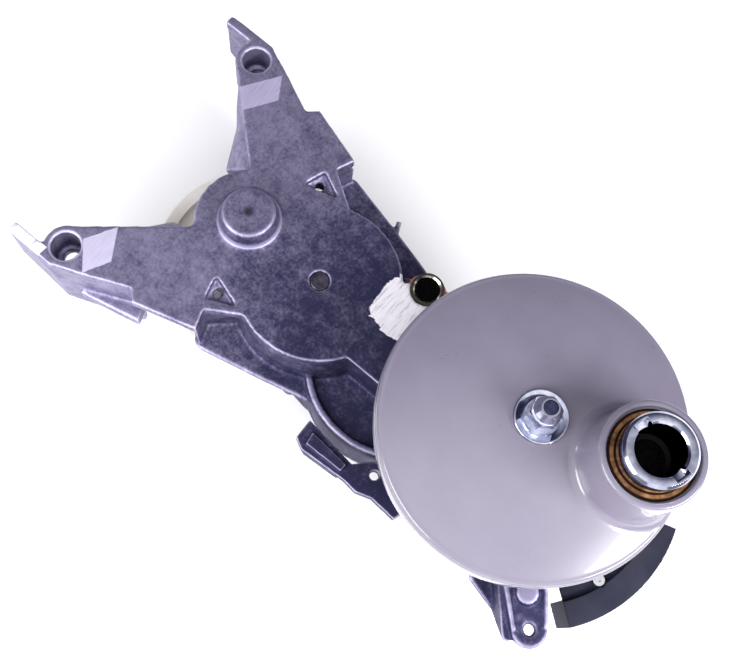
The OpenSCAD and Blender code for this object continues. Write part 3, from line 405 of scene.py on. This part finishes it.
def show(obj, body, finish, slot_name=None, *stands_for):
    """Links a piece's finish and body; the slot_name argument is not used."""
    obj.data.materials.clear()
    obj.data.materials.append(finish.material)
    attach(obj, body)
    if stands_for:
        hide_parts(*stands_for)
    return obj


def add_object(name, mesh):
    obj = bpy.data.objects.new(name, mesh)
    bpy.context.scene.collection.objects.link(obj)
    return obj


def softened(node_name, piece_name, cell_mm, passes, keep=0.5):
    """A copy of a CAD node with rounded edges, thinned to a share of its faces."""
    piece = add_object(piece_name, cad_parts[node_name].data.copy())
    remesh = piece.modifiers.new("cells", "REMESH")
    remesh.mode = "VOXEL"
    remesh.voxel_size = cell_mm * MM
    relax = piece.modifiers.new("relax", "SMOOTH")
    relax.factor, relax.iterations = 0.5, passes
    thin = piece.modifiers.new("thin", "DECIMATE")
    thin.ratio = keep
    keep_result(piece)
    piece.data.polygons.foreach_set("use_smooth", [True] * len(piece.data.polygons))
    print(piece_name, "has", len(piece.data.polygons), "faces")
    return piece


# %% Soften the case, the cover and the bracket
case = softened("gear_case", "cast_case", 0.85, 8, keep=0.45)
show(case, "housing", case_skin, "cast_aluminium", "gear_case")
cover = softened("rear_cover", "cast_cover", 0.8, 4, keep=0.4)
show(cover, "housing", cover_skin, "cast_aluminium", "rear_cover")
bracket = softened("side_bracket", "cast_bracket", 0.45, 6, keep=0.5)
show(bracket, "housing", cover_skin, "cast_aluminium", "side_bracket")

# %% [markdown]
# ## The lacquered hub
#
# The hub disc is a turned casting under gloss lacquer: a shallow dome, a
# rolled edge, a fine groove and a band. Reflections run smoothly across it,
# so it is lathed from one profile rather than remeshed. The socket tube
# stands near the rim. Its foot is filleted into the dome, and because the
# dome falls away under it, the fillet's height is worked out separately for
# each direction round the tube.

# %% The hub's measures, in mm
ORBIT = Vector((10.3525, -43.7931))
HUB_R, FACE_R, WASHER_R = 71.8, 69.2, 12.4
DOME_TOP, EDGE = 14.5, 3.6
TUBE_TOP, TUBE_R, FOOT_R, MOUTH_R = 40.0, 23.0, 24.8, 20.0
NEEDLE_SEAT_R, BUSH_SEAT_R, BUSH_FLOOR = 12.02, 19.32, 18.0
BALL = ((FACE_R - WASHER_R) ** 2 + (DOME_TOP - EDGE) ** 2) / (2 * (DOME_TOP - EDGE))


def hub_height(r):
    """Height of the hub's face at this distance from its axis."""
    if r > FACE_R:
        return 1.5 + math.sqrt(max(0.0, 2.1 ** 2 - (r - FACE_R) ** 2))
    return DOME_TOP - BALL + math.sqrt(BALL ** 2 - max(0.0, r - WASHER_R) ** 2)


print("the dome's radius of curvature is", round(BALL, 1), "mm")

# %% Two mesh helpers: rings of points, and a lathe
def skin_rings(name, rings):
    """A closed mesh of quads through equal rings of points, in mm."""
    count, turns = len(rings), len(rings[0])
    points = [Vector(point) * MM for ring in rings for point in ring]
    faces = []
    for i in range(count):
        j = (i + 1) % count
        for k in range(turns):
            n = (k + 1) % turns
            faces.append((i * turns + k, i * turns + n, j * turns + n, j * turns + k))
    mesh = bpy.data.meshes.new(name)
    mesh.from_pydata(points, [], faces)
    tidy = bmesh.new()
    tidy.from_mesh(mesh)
    bmesh.ops.remove_doubles(tidy, verts=tidy.verts, dist=1e-7)
    bmesh.ops.recalc_face_normals(tidy, faces=tidy.faces)
    tidy.to_mesh(mesh)
    tidy.free()
    return mesh


def lathe(name, profile, centre=(0, 0), turns=128):
    """A closed profile of radius and height, turned round a vertical axis."""
    rings = []
    for r, z in profile:
        angles = [2 * math.pi * k / turns for k in range(turns)]
        rings.append([(centre[0] + r * math.cos(a), centre[1] + r * math.sin(a), z) for a in angles])
    return skin_rings(name, rings)


def smooth(obj, degrees=32):
    """Smooth faces, with edges sharper than this kept sharp."""
    obj.data.polygons.foreach_set("use_smooth", [True] * len(obj.data.polygons))
    obj.data.set_sharp_from_angle(angle=math.radians(degrees))
    return obj


def cut(obj, cutter_mesh, operation="DIFFERENCE"):
    """Cuts a mesh out of an object and keeps the result."""
    cutter = add_object("cutter", cutter_mesh)
    work = obj.modifiers.new("cut", "BOOLEAN")
    work.object, work.operation, work.solver = cutter, operation, "EXACT"
    keep_result(obj)
    bpy.data.objects.remove(cutter)
    return obj


# %% Lathe the hub's disc
def rounded(corner, radius, start, end, steps=5):
    """Points of a fillet at a corner, between two angles in degrees."""
    angles = [math.radians(start + (end - start) * k / steps) for k in range(steps + 1)]
    return [(corner[0] + radius * math.cos(a), corner[1] + radius * math.sin(a)) for a in angles]


SHAFT_R, HUB_BASE, SKIRT_R, SKIRT_BASE, CEILING = 8, -13, 68.8, -10, 0.5
disc_profile = [(SHAFT_R, HUB_BASE), (18.6, HUB_BASE), (19, HUB_BASE + 0.3), (21, CEILING)]
disc_profile += [(SKIRT_R, CEILING), (SKIRT_R, SKIRT_BASE)]
disc_profile += rounded((HUB_R - 0.6, -9.4), 0.6, -90, 0)
disc_profile += rounded((HUB_R - 0.4, -0.4), 0.4, 0, 90, 3)
disc_profile += [(70.9, 0.05), (70.5, 0.25), (70.5, 0.95), (70.8, 1.2)]
disc_profile += rounded((FACE_R, 1.5), 2.1, -8, 78, 12)
disc_profile += [(FACE_R - (FACE_R - WASHER_R) * k / 48, 0) for k in range(49)]
disc_profile = [(r, z if z else hub_height(r)) for r, z in disc_profile]
disc_profile += [(SHAFT_R, DOME_TOP)]
disc = add_object("hub_disc", lathe("hub_disc", disc_profile, turns=256))
AXIS = 0.001
needle_bore = [(AXIS, -6), (NEEDLE_SEAT_R, -6), (NEEDLE_SEAT_R, 30), (AXIS, 30)]
cut(disc, lathe("bore", needle_bore, ORBIT, 96))
smooth(disc, 40)
print("hub disc:", len(disc.data.polygons), "faces")

# %% Raise the socket tube out of the dome
TURNS, FILLET = 160, 4.5


def tube_ring(distance, height):
    """One ring round the orbit axis; both arguments may depend on the angle."""
    ring = []
    for k in range(TURNS):
        a = 2 * math.pi * k / TURNS
        d = distance(a) if callable(distance) else distance
        z = height(a, d) if callable(height) else height
        ring.append((ORBIT.x + d * math.cos(a), ORBIT.y + d * math.sin(a), z))
    return ring


def radius_at(a, d):
    """Distance from the hub's axis, d out from the orbit axis at angle a."""
    return (ORBIT + Vector((math.cos(a), math.sin(a))) * d).length


def face_under(a, d):
    return hub_height(radius_at(a, d))


def fillet_reach(a):
    """How far out the fillet runs, without passing the hub's rim."""
    reach = FOOT_R + FILLET
    while radius_at(a, reach) > HUB_R - 0.7 and reach > FOOT_R:
        reach -= 0.1
    return reach


reaches = {round(2 * math.pi * k / TURNS, 6): fillet_reach(2 * math.pi * k / TURNS) for k in range(TURNS)}
print("fillet reach from", round(min(reaches.values()), 1), "to", round(max(reaches.values()), 1), "mm")

# %% Skin the tube
def wall_r(z):
    """The tube's outer radius at a height: it tapers upwards."""
    return FOOT_R + (TUBE_R - FOOT_R) * (z - EDGE) / (TUBE_TOP - EDGE)


def fillet_point(share):
    """One ring of the fillet, from the dome (0) to the tube's wall (1)."""
    def distance(a):
        reach = reaches[round(a, 6)]
        return (1 - share) ** 2 * reach + (1 - (1 - share) ** 2) * wall_r(8)

    def height(a, d):
        reach = reaches[round(a, 6)]
        rise = 1.1 * (reach - wall_r(8)) + 0.6
        return face_under(a, d) + share ** 2 * rise
    return tube_ring(distance, height)


rings = [tube_ring(NEEDLE_SEAT_R, -3.6), tube_ring(17, -3.6), tube_ring(17, 1.2)]
rings += [tube_ring(lambda a: reaches[round(a, 6)], lambda a, d: face_under(a, d) - 1.0)]
rings += [fillet_point(k / 10) for k in range(11)]
rings += [tube_ring(wall_r(z), z) for z in (22, 28, 34)]
lip = [(r, z) for r, z in rounded((TUBE_R - 1.3, TUBE_TOP - 1.3), 1.3, 0, 90, 6)]
lip += rounded((MOUTH_R + 0.8, TUBE_TOP - 0.8), 0.8, 90, 180, 5)
lip += [(MOUTH_R, TUBE_TOP - 3), (BUSH_SEAT_R, TUBE_TOP - 3)]
lip += [(BUSH_SEAT_R, BUSH_FLOOR), (NEEDLE_SEAT_R, BUSH_FLOOR)]
rings += [tube_ring(r, z) for r, z in lip]
tube = smooth(add_object("socket_tube", skin_rings("socket_tube", rings)), 40)
print("socket tube:", len(tube.data.polygons), "faces")

# %% [markdown]
# ## Gloss lacquer
#
# The lacquer is a pale lilac-grey with a clear, hard gloss. A real sprayed
# coat has a very slight orange peel, and a little dust and handling haze.
# Those change only the roughness and a bump of a few thousandths of a
# millimetre. A clear coat on top gives the crisp reflections.

# %% The hub's lacquer
lacquer = Finish("hub_lacquer", roughness=0.3, Coat_Weight=0.8, Coat_Roughness=0.05, IOR=1.5)
haze = lacquer.noise(18, detail=4, roughness=0.6)
specks = lacquer.noise(0.35, detail=0).step(0.84, 0.86)
lacquer_colour = haze.step(0.2, 0.8).mix((0.176, 0.16, 0.218), (0.193, 0.176, 0.236))
lacquer.set("Base Color", (specks * 0.12).mix(lacquer_colour, (0.2, 0.18, 0.22)))
lacquer.set("Roughness", 0.24 + haze * 0.1)
peel = lacquer.noise(3.0, detail=2)
lacquer.bump(peel, 0.006)
show(disc, "planet_hub", lacquer, "hub_paint", "planet_hub")
show(tube, "planet_hub", lacquer, "hub_paint")
print("lacquer on:", disc.name, tube.name)

# %% [markdown]
# ## The chrome socket
#
# The tool socket is turned steel, polished and plated. Chrome has almost no
# colour of its own: it shows the room, sharply. What makes it believable is
# the fine chamfer along each edge, which flashes, and faint turning marks.
# The ring is lathed with its steps, the two bayonet notches are cut out, and
# a bevel runs along what is left.

# %% Turn the socket and cut its notches
SOCKET_R, SOCKET_BORE_R, SOCKET_TOP = 16.0, 10.8, 49.4
SHAFT_SEAT_R, STEP_R, OUTER_CHAMFER, BORE_CHAMFER = 8.02, 10.4, 1.2, 0.9
SOCKET_BASE, SEAT_END, STEP_TOP, BORE_END = 18.7, 29.9, 34.2, 34.6
socket_profile = [(SHAFT_SEAT_R, SOCKET_BASE), (SOCKET_R, SOCKET_BASE)]
socket_profile += [(SOCKET_R, SOCKET_TOP - OUTER_CHAMFER), (SOCKET_R - OUTER_CHAMFER, SOCKET_TOP)]
socket_profile += [(SOCKET_BORE_R + BORE_CHAMFER, SOCKET_TOP), (SOCKET_BORE_R, SOCKET_TOP - BORE_CHAMFER)]
socket_profile += [(SOCKET_BORE_R, BORE_END), (STEP_R, STEP_TOP), (STEP_R, SEAT_END)]
socket_profile += [(SHAFT_SEAT_R, SEAT_END)]
socket = add_object("chrome_socket", lathe("chrome_socket", socket_profile, ORBIT, 144))


def bar(name, centre, size, degrees):
    """A box for cutting: centre and size in mm, turned about Z."""
    mesh = bpy.data.meshes.new(name)
    block = bmesh.new()
    bmesh.ops.create_cube(block, size=1)
    place = Matrix.Translation(Vector(centre) * MM) @ Matrix.Rotation(math.radians(degrees), 4, "Z")
    stretch = Matrix.Diagonal(Vector((*size, 1 / MM)) * MM)
    bmesh.ops.transform(block, matrix=place @ stretch, verts=block.verts)
    block.to_mesh(mesh)
    block.free()
    return mesh


NOTCHES, NOTCH_OUT, NOTCH_SIZE = (75, 255), 7.3, (12.6, 7, 12)
for degrees in NOTCHES:
    out = Vector((math.cos(math.radians(degrees)), math.sin(math.radians(degrees)))) * NOTCH_OUT
    cut(socket, bar("notch", (*(ORBIT + out), SOCKET_TOP), NOTCH_SIZE, degrees))
edge = socket.modifiers.new("edges", "BEVEL")
edge.width, edge.segments, edge.limit_method, edge.angle_limit = 0.25 * MM, 2, "ANGLE", math.radians(35)
keep_result(socket)
smooth(socket, 30)
print("socket:", len(socket.data.polygons), "faces")

# %% Turn the washer and the nut
NUT_BASE, NUT_H, NUT_AF, STUD_R = 15.7, 12.0, 13.0, 4.0
NUT_TOP, FLANGE_R = NUT_BASE + NUT_H, 7.9
washer_profile = [(STUD_R + 0.1, DOME_TOP), (WASHER_R, DOME_TOP), (WASHER_R, DOME_TOP + 1.9)]
washer_profile += rounded((WASHER_R - 0.5, DOME_TOP + 1.9), 0.5, 0, 90, 4)
washer_profile += [(WASHER_R - 1.1, DOME_TOP + 2.35), (8.6, DOME_TOP + 1.35)]
washer_profile += [(8.1, DOME_TOP + 1.2), (STUD_R + 0.1, DOME_TOP + 1.2)]
washer = smooth(add_object("chrome_washer", lathe("chrome_washer", washer_profile)), 30)

nut_profile = [(AXIS, NUT_BASE), (FLANGE_R, NUT_BASE), (FLANGE_R, NUT_BASE + 1.6), (7.55, NUT_BASE + 2)]
nut_profile += [(7.55, NUT_TOP - 2.0), (6.3, NUT_TOP - 0.6), (5.6, NUT_TOP + 1.4)]
nut_profile += [(4.3, NUT_TOP + 5.2), (4.0, NUT_TOP + 5.9), (AXIS, NUT_TOP + 5.9)]
nut = add_object("chrome_nut", lathe("chrome_nut", nut_profile, turns=96))
hexagon_r = NUT_AF / 2 / math.cos(math.radians(30))
flange = [(AXIS, NUT_BASE), (FLANGE_R, NUT_BASE), (FLANGE_R, NUT_BASE + 1.5), (AXIS, NUT_BASE + 1.5)]
six_sides = []
for z in (NUT_BASE + 0.1, NUT_TOP + 8):
    angles = [math.radians(12 + 60 * k) for k in range(6)]
    six_sides.append([(hexagon_r * math.cos(a), hexagon_r * math.sin(a), z) for a in angles])
prism = bmesh.new()
low, high = ([prism.verts.new(Vector(point) * MM) for point in ring] for ring in six_sides)
prism.faces.new(low[::-1])
prism.faces.new(high)
for k in range(6):
    prism.faces.new((low[k], low[(k + 1) % 6], high[(k + 1) % 6], high[k]))
prism_mesh = bpy.data.meshes.new("six_sides")
prism.to_mesh(prism_mesh)
prism.free()
cut(nut, prism_mesh, "INTERSECT")
cut(nut, lathe("flange", flange, turns=96), "UNION")
DIMPLE_R = 3.12
dimple = [(AXIS, NUT_BASE - 1), (DIMPLE_R, NUT_BASE - 1), (DIMPLE_R, NUT_TOP + 4.9)]
dimple += [(3.5, NUT_TOP + 7), (AXIS, NUT_TOP + 7)]
cut(nut, lathe("dimple", dimple, turns=64))
edge = nut.modifiers.new("edges", "BEVEL")
edge.width, edge.segments, edge.limit_method, edge.angle_limit = 0.18 * MM, 2, "ANGLE", math.radians(25)
keep_result(nut)
smooth(nut, 30)
print("washer and nut:", len(washer.data.polygons), len(nut.data.polygons), "faces")

# %% The chrome's finish
chrome = Finish("bright_chrome", metallic=1.0, roughness=0.06)
turning = chrome.noise(0.5, detail=2, stretch=(0.2, 0.2, 2.5))
smudge = chrome.noise(5, detail=3)
plate = smudge.step(0.3, 0.8).mix((0.38, 0.4, 0.52), (0.68, 0.7, 0.82))
# painted shade: the inside of the socket's bore below its mouth is near-black
bore_painted_shade = chrome.ring(ORBIT, -1, SOCKET_BORE_R + 0.3) * (1 - chrome.above(SOCKET_TOP - 2.2, 0.8))
chrome.set("Base Color", bore_painted_shade.mix(plate, (0.004, 0.004, 0.005)))
chrome.set("Roughness", 0.05 + smudge * 0.07)
chrome.bump(turning, 0.004)
show(socket, "planet_shaft", chrome, "bright_chrome", "tool_socket")
show(washer, "planet_hub", chrome, "bright_chrome", "hub_washer")
show(nut, "planet_hub", chrome, "bright_chrome", "hub_nut")
print("chrome on:", socket.name, washer.name, nut.name)

# %% [markdown]
# ## Bronze, copper and the steel bush
#
# The bush round the socket is sintered bronze: brown, slightly porous and
# damp with oil. The locating bush is dark steel whose inner edge has been
# reamed bright. One finish can show both, with a ring mask at the bore. The
# same kind of mask paints shade into the narrow gaps on both sides of the
# bronze ring.

# %% Bronze and copper
def coloured_metal(name, dark, pale, roughness, grain_mm, depth_mm):
    """A metal between two colours, with grain of a size and a depth in mm."""
    finish = Finish(name, metallic=1.0)
    cloud = finish.noise(grain_mm * 8, detail=4)
    grain = finish.noise(grain_mm, detail=3)
    tone = (cloud * 0.6 + grain * 0.4).step(0.3, 0.7)
    finish.set("Base Color", tone.mix(dark, pale))
    finish.set("Roughness", roughness + grain * 0.12)
    finish.bump(grain, depth_mm)
    return finish


bronze = Finish("sintered_bronze", metallic=1.0)
bronze_cloud = bronze.noise(2.8, detail=4).step(0.3, 0.7)
bronze_colour = bronze_cloud.mix((0.16, 0.075, 0.035), (0.42, 0.22, 0.1))
# painted shade in the narrow gaps on both sides of the bronze ring
gap_shade = (1 - bronze.ring(ORBIT, 16.6, 18.2, soft=0.25)) * 0.97
bronze.set("Base Color", gap_shade.mix(bronze_colour, (0.012, 0.007, 0.005)))
bronze_grain = bronze.noise(0.35, detail=3)
bronze.set("Roughness", 0.3 + bronze_grain * 0.12)
bronze.bump(bronze_grain, 0.02)
copper = coloured_metal("dull_copper", (0.36, 0.12, 0.06), (0.7, 0.3, 0.17), 0.38, 0.5, 0.02)
for name in ("socket_bush", "planet_needle_bush"):
    wear(name, bronze)
wear("copper_ring", copper)
print("bronze and copper on 3 nodes")

# %% The locating bush
bush_finish = Finish("dark_bush_steel", metallic=1.0)
rust_cloud = bush_finish.noise(3, detail=3)
dark_bush = rust_cloud.mix((0.035, 0.034, 0.024), (0.14, 0.13, 0.1))
reamed = 1 - bush_finish.ring(BUSH, 7.25, 30, soft=0.12)
bush_finish.set("Base Color", reamed.mix(dark_bush, (0.82, 0.8, 0.74)))
bush_finish.set("Roughness", 0.34 - reamed * 0.2)
bush_finish.bump(rust_cloud, 0.02)
wear("locating_bush", bush_finish)
print("bush finish made")

# %% [markdown]
# ## Plated, ground and hobbed steel
#
# Inside are shafts, gears, bearings and fasteners. They differ in how they
# were made: zinc plating is bright and a little milky, ground shafts carry
# fine rings round their axis, and gear teeth are darker and filmed with oil.
# One helper makes them all, with the numbers that differ.

# %% Steel finishes for the fasteners and the drive
plated = coloured_metal("plated_steel", (0.52, 0.52, 0.56), (0.78, 0.78, 0.82), 0.2, 0.6, 0.01)
ground = coloured_metal("ground_steel", (0.4, 0.4, 0.43), (0.6, 0.6, 0.63), 0.18, 0.25, 0.008)
stud_steel = coloured_metal("phosphated_steel", (0.03, 0.035, 0.075), (0.09, 0.1, 0.19), 0.3, 0.4, 0.01)
# painted shade: the planet shaft, seen at the floor of the socket's bore, is made near-black
bore_floor_shade = coloured_metal("shaft_painted_shade", (0.002, 0.002, 0.002), (0.008, 0.008, 0.009), 0.5, 0.25, 0.008)
hobbed = coloured_metal("gear_steel", (0.24, 0.24, 0.26), (0.48, 0.48, 0.5), 0.27, 0.5, 0.015)
races = coloured_metal("bearing_steel", (0.45, 0.46, 0.49), (0.66, 0.67, 0.7), 0.14, 0.3, 0.005)
blued = coloured_metal("spring_steel", (0.03, 0.03, 0.035), (0.09, 0.09, 0.1), 0.3, 0.4, 0.01)
axle_end = coloured_metal("axle_steel", (0.006, 0.006, 0.01), (0.16, 0.15, 0.2), 0.3, 0.45, 0.05)
steel_nodes = {
    plated: "cover_screws ring_gear_screws shroud_screws bracket_screw pulley_washer pulley_nut"
            " cover_dowels socket_pin hub_key gear_key",
    ground: "input_shaft idler_axle",
    stud_steel: "output_shaft",
    bore_floor_shade: "planet_shaft",
    hobbed: "main_gear planet_pinion intermediate_pinion idler_gear idler_pinion input_pinion ring_gear",
    races: "output_bearing_front output_bearing_rear input_bearing_front input_bearing_rear",
    blued: "output_circlip planet_circlip",
    axle_end: "intermediate_axle",
}
for finish, names in steel_nodes.items():
    for name in names.split():
        wear(name, finish)
print("steel on", sum(len(names.split()) for names in steel_nodes.values()), "nodes")

# %% [markdown]
# ## Plastics and rubber
#
# The belt pulley and the first gear are cream nylon, a little translucent
# and never quite even in tone. The shroud in front is moulded blue-black
# plastic with a soft sheen. It lies in shade under the hub, and part of its
# near-black colour is painted shade. Seals and the gasket are matt black rubber.

# %% Plastic and rubber finishes
def moulded(name, dark, pale, roughness, grain_mm, depth_mm, **constants):
    """A moulded surface: broad clouds of tone and a fine grain."""
    finish = Finish(name, **constants)
    cloud = finish.noise(22, detail=3)
    grain = finish.noise(grain_mm, detail=2)
    finish.set("Base Color", cloud.step(0.25, 0.75).mix(dark, pale))
    finish.set("Roughness", roughness + cloud * 0.1 + grain * 0.05)
    finish.bump(grain, depth_mm)
    return finish


nylon = moulded(
    "cream_nylon", (0.84, 0.79, 0.7), (0.95, 0.92, 0.86), 0.4, 0.8, 0.012, Subsurface_Weight=0.06
)
washer_nylon = moulded("washer_nylon", (0.5, 0.44, 0.3), (0.62, 0.56, 0.4), 0.45, 0.5, 0.01)
# near-black moulding, darkened further as painted shade under the hub
dark_shroud_and_shade = moulded(
    "black_shroud", (0.02, 0.021, 0.036), (0.034, 0.035, 0.054), 0.5, 0.5, 0.014, Specular_IOR_Level=0.05
)
rubber = moulded("seal_rubber", (0.018, 0.018, 0.02), (0.035, 0.035, 0.038), 0.6, 0.3, 0.02)
for finish, names in {
    nylon: "belt_pulley intermediate_gear",
    washer_nylon: "intermediate_washers idler_washers",
    rubber: "output_seal input_seal cover_gasket",
}.items():
    for name in names.split():
        wear(name, finish)
shroud = softened("front_shroud", "moulded_shroud", 0.5, 5, keep=0.5)
show(shroud, "housing", dark_shroud_and_shade, "black_shroud", "front_shroud")
print("plastic and rubber done")

# %% [markdown]
# ## The studio
#
# A pale floor, a soft sky and two large soft boxes. The left and the front
# of the sky are bright and the right is dark, so the walls that face left
# come out pale and those that face right come out dark. Low down, the sky
# stays dark between five bright windows, which stripe the chrome. The soft
# box in front puts the white glint on the hub's rim and on its tube.

# %% The floor
FLOOR_GAP, FLOOR_REACH = 0.4 * MM, 1600 * MM
floor_mesh = bpy.data.meshes.new("floor")
floor_z = cad_box[0][2] - FLOOR_GAP
sides = [(-1, -1), (1, -1), (1, 1), (-1, 1)]
corners = [(x * FLOOR_REACH, y * FLOOR_REACH, floor_z) for x, y in sides]
floor_mesh.from_pydata(corners, [], [(0, 1, 2, 3)])
floor = add_object("studio_floor", floor_mesh)
paper = Finish("white_paper", roughness=0.9)
fibres = paper.noise(40, detail=3)
paper.set("Base Color", fibres.mix((0.93, 0.93, 0.94), (0.95, 0.95, 0.96)))
floor.data.materials.append(paper.material)
floor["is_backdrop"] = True
print("floor at", round(floor_z / MM, 1), "mm")

# %% The sky
world = bpy.data.worlds.new("studio_sky")
bpy.context.scene.world = world
world.use_nodes = True
sky = world.node_tree
direction = add_node(sky, "ShaderNodeTexCoord", output=0)
across, along, up = direction.part("X"), direction.part("Y"), direction.part("Z")
WINDOW_COUNT = 5
facing = up * 0.5 - across * 0.72 - along * 0.4
front = (0 - along * 0.9 + up * 0.3 - across * 0.2).step(0.62, 0.8)
wave = along.math("ARCTAN2", along, across) * WINDOW_COUNT + 0.8
windows = wave.math("SINE", wave).step(-0.35, 0.25)
low_down = 1 - up.step(0.3, 0.62)
level = facing.step(0.0, 0.62).at_least(front * 0.8) * (1 - low_down * 0.8 * (1 - windows))
sky_colour = level.mix((0.045, 0.042, 0.075), (1.0, 0.99, 1.0))
sky.links.new(sky_colour.socket, sky.nodes["Background"].inputs["Color"])
sky.nodes["Background"].inputs["Strength"].default_value = 1.6
print("sky made")

# %% The soft boxes
def soft_box(name, place_mm, aim_mm, size_mm, watts):
    """A white area light at a place, aimed at a point."""
    data = bpy.data.lights.new(name, "AREA")
    data.shape, data.size, data.size_y = "RECTANGLE", size_mm[0] * MM, size_mm[1] * MM
    data.energy = watts
    light = bpy.data.objects.new(name, data)
    bpy.context.scene.collection.objects.link(light)
    place, aim = Vector(place_mm) * MM, Vector(aim_mm) * MM
    light.location = place
    light.rotation_euler = (aim - place).to_track_quat("-Z", "Y").to_euler()
    return light


soft_box("key_box", (-1000, 420, 560), (0, 80, 0), (800, 500), 13)
soft_box("rim_box", (60, -840, 620), (10, -50, 20), (620, 250), 14)

# %% Measure and finish
visual_box = [list(corner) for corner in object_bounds()]
growth = [round((v - c) / MM, 2) for c, v in zip(cad_box[0] + cad_box[1], visual_box[0] + visual_box[1])]
print("visual box minus CAD box, mm:", growth)
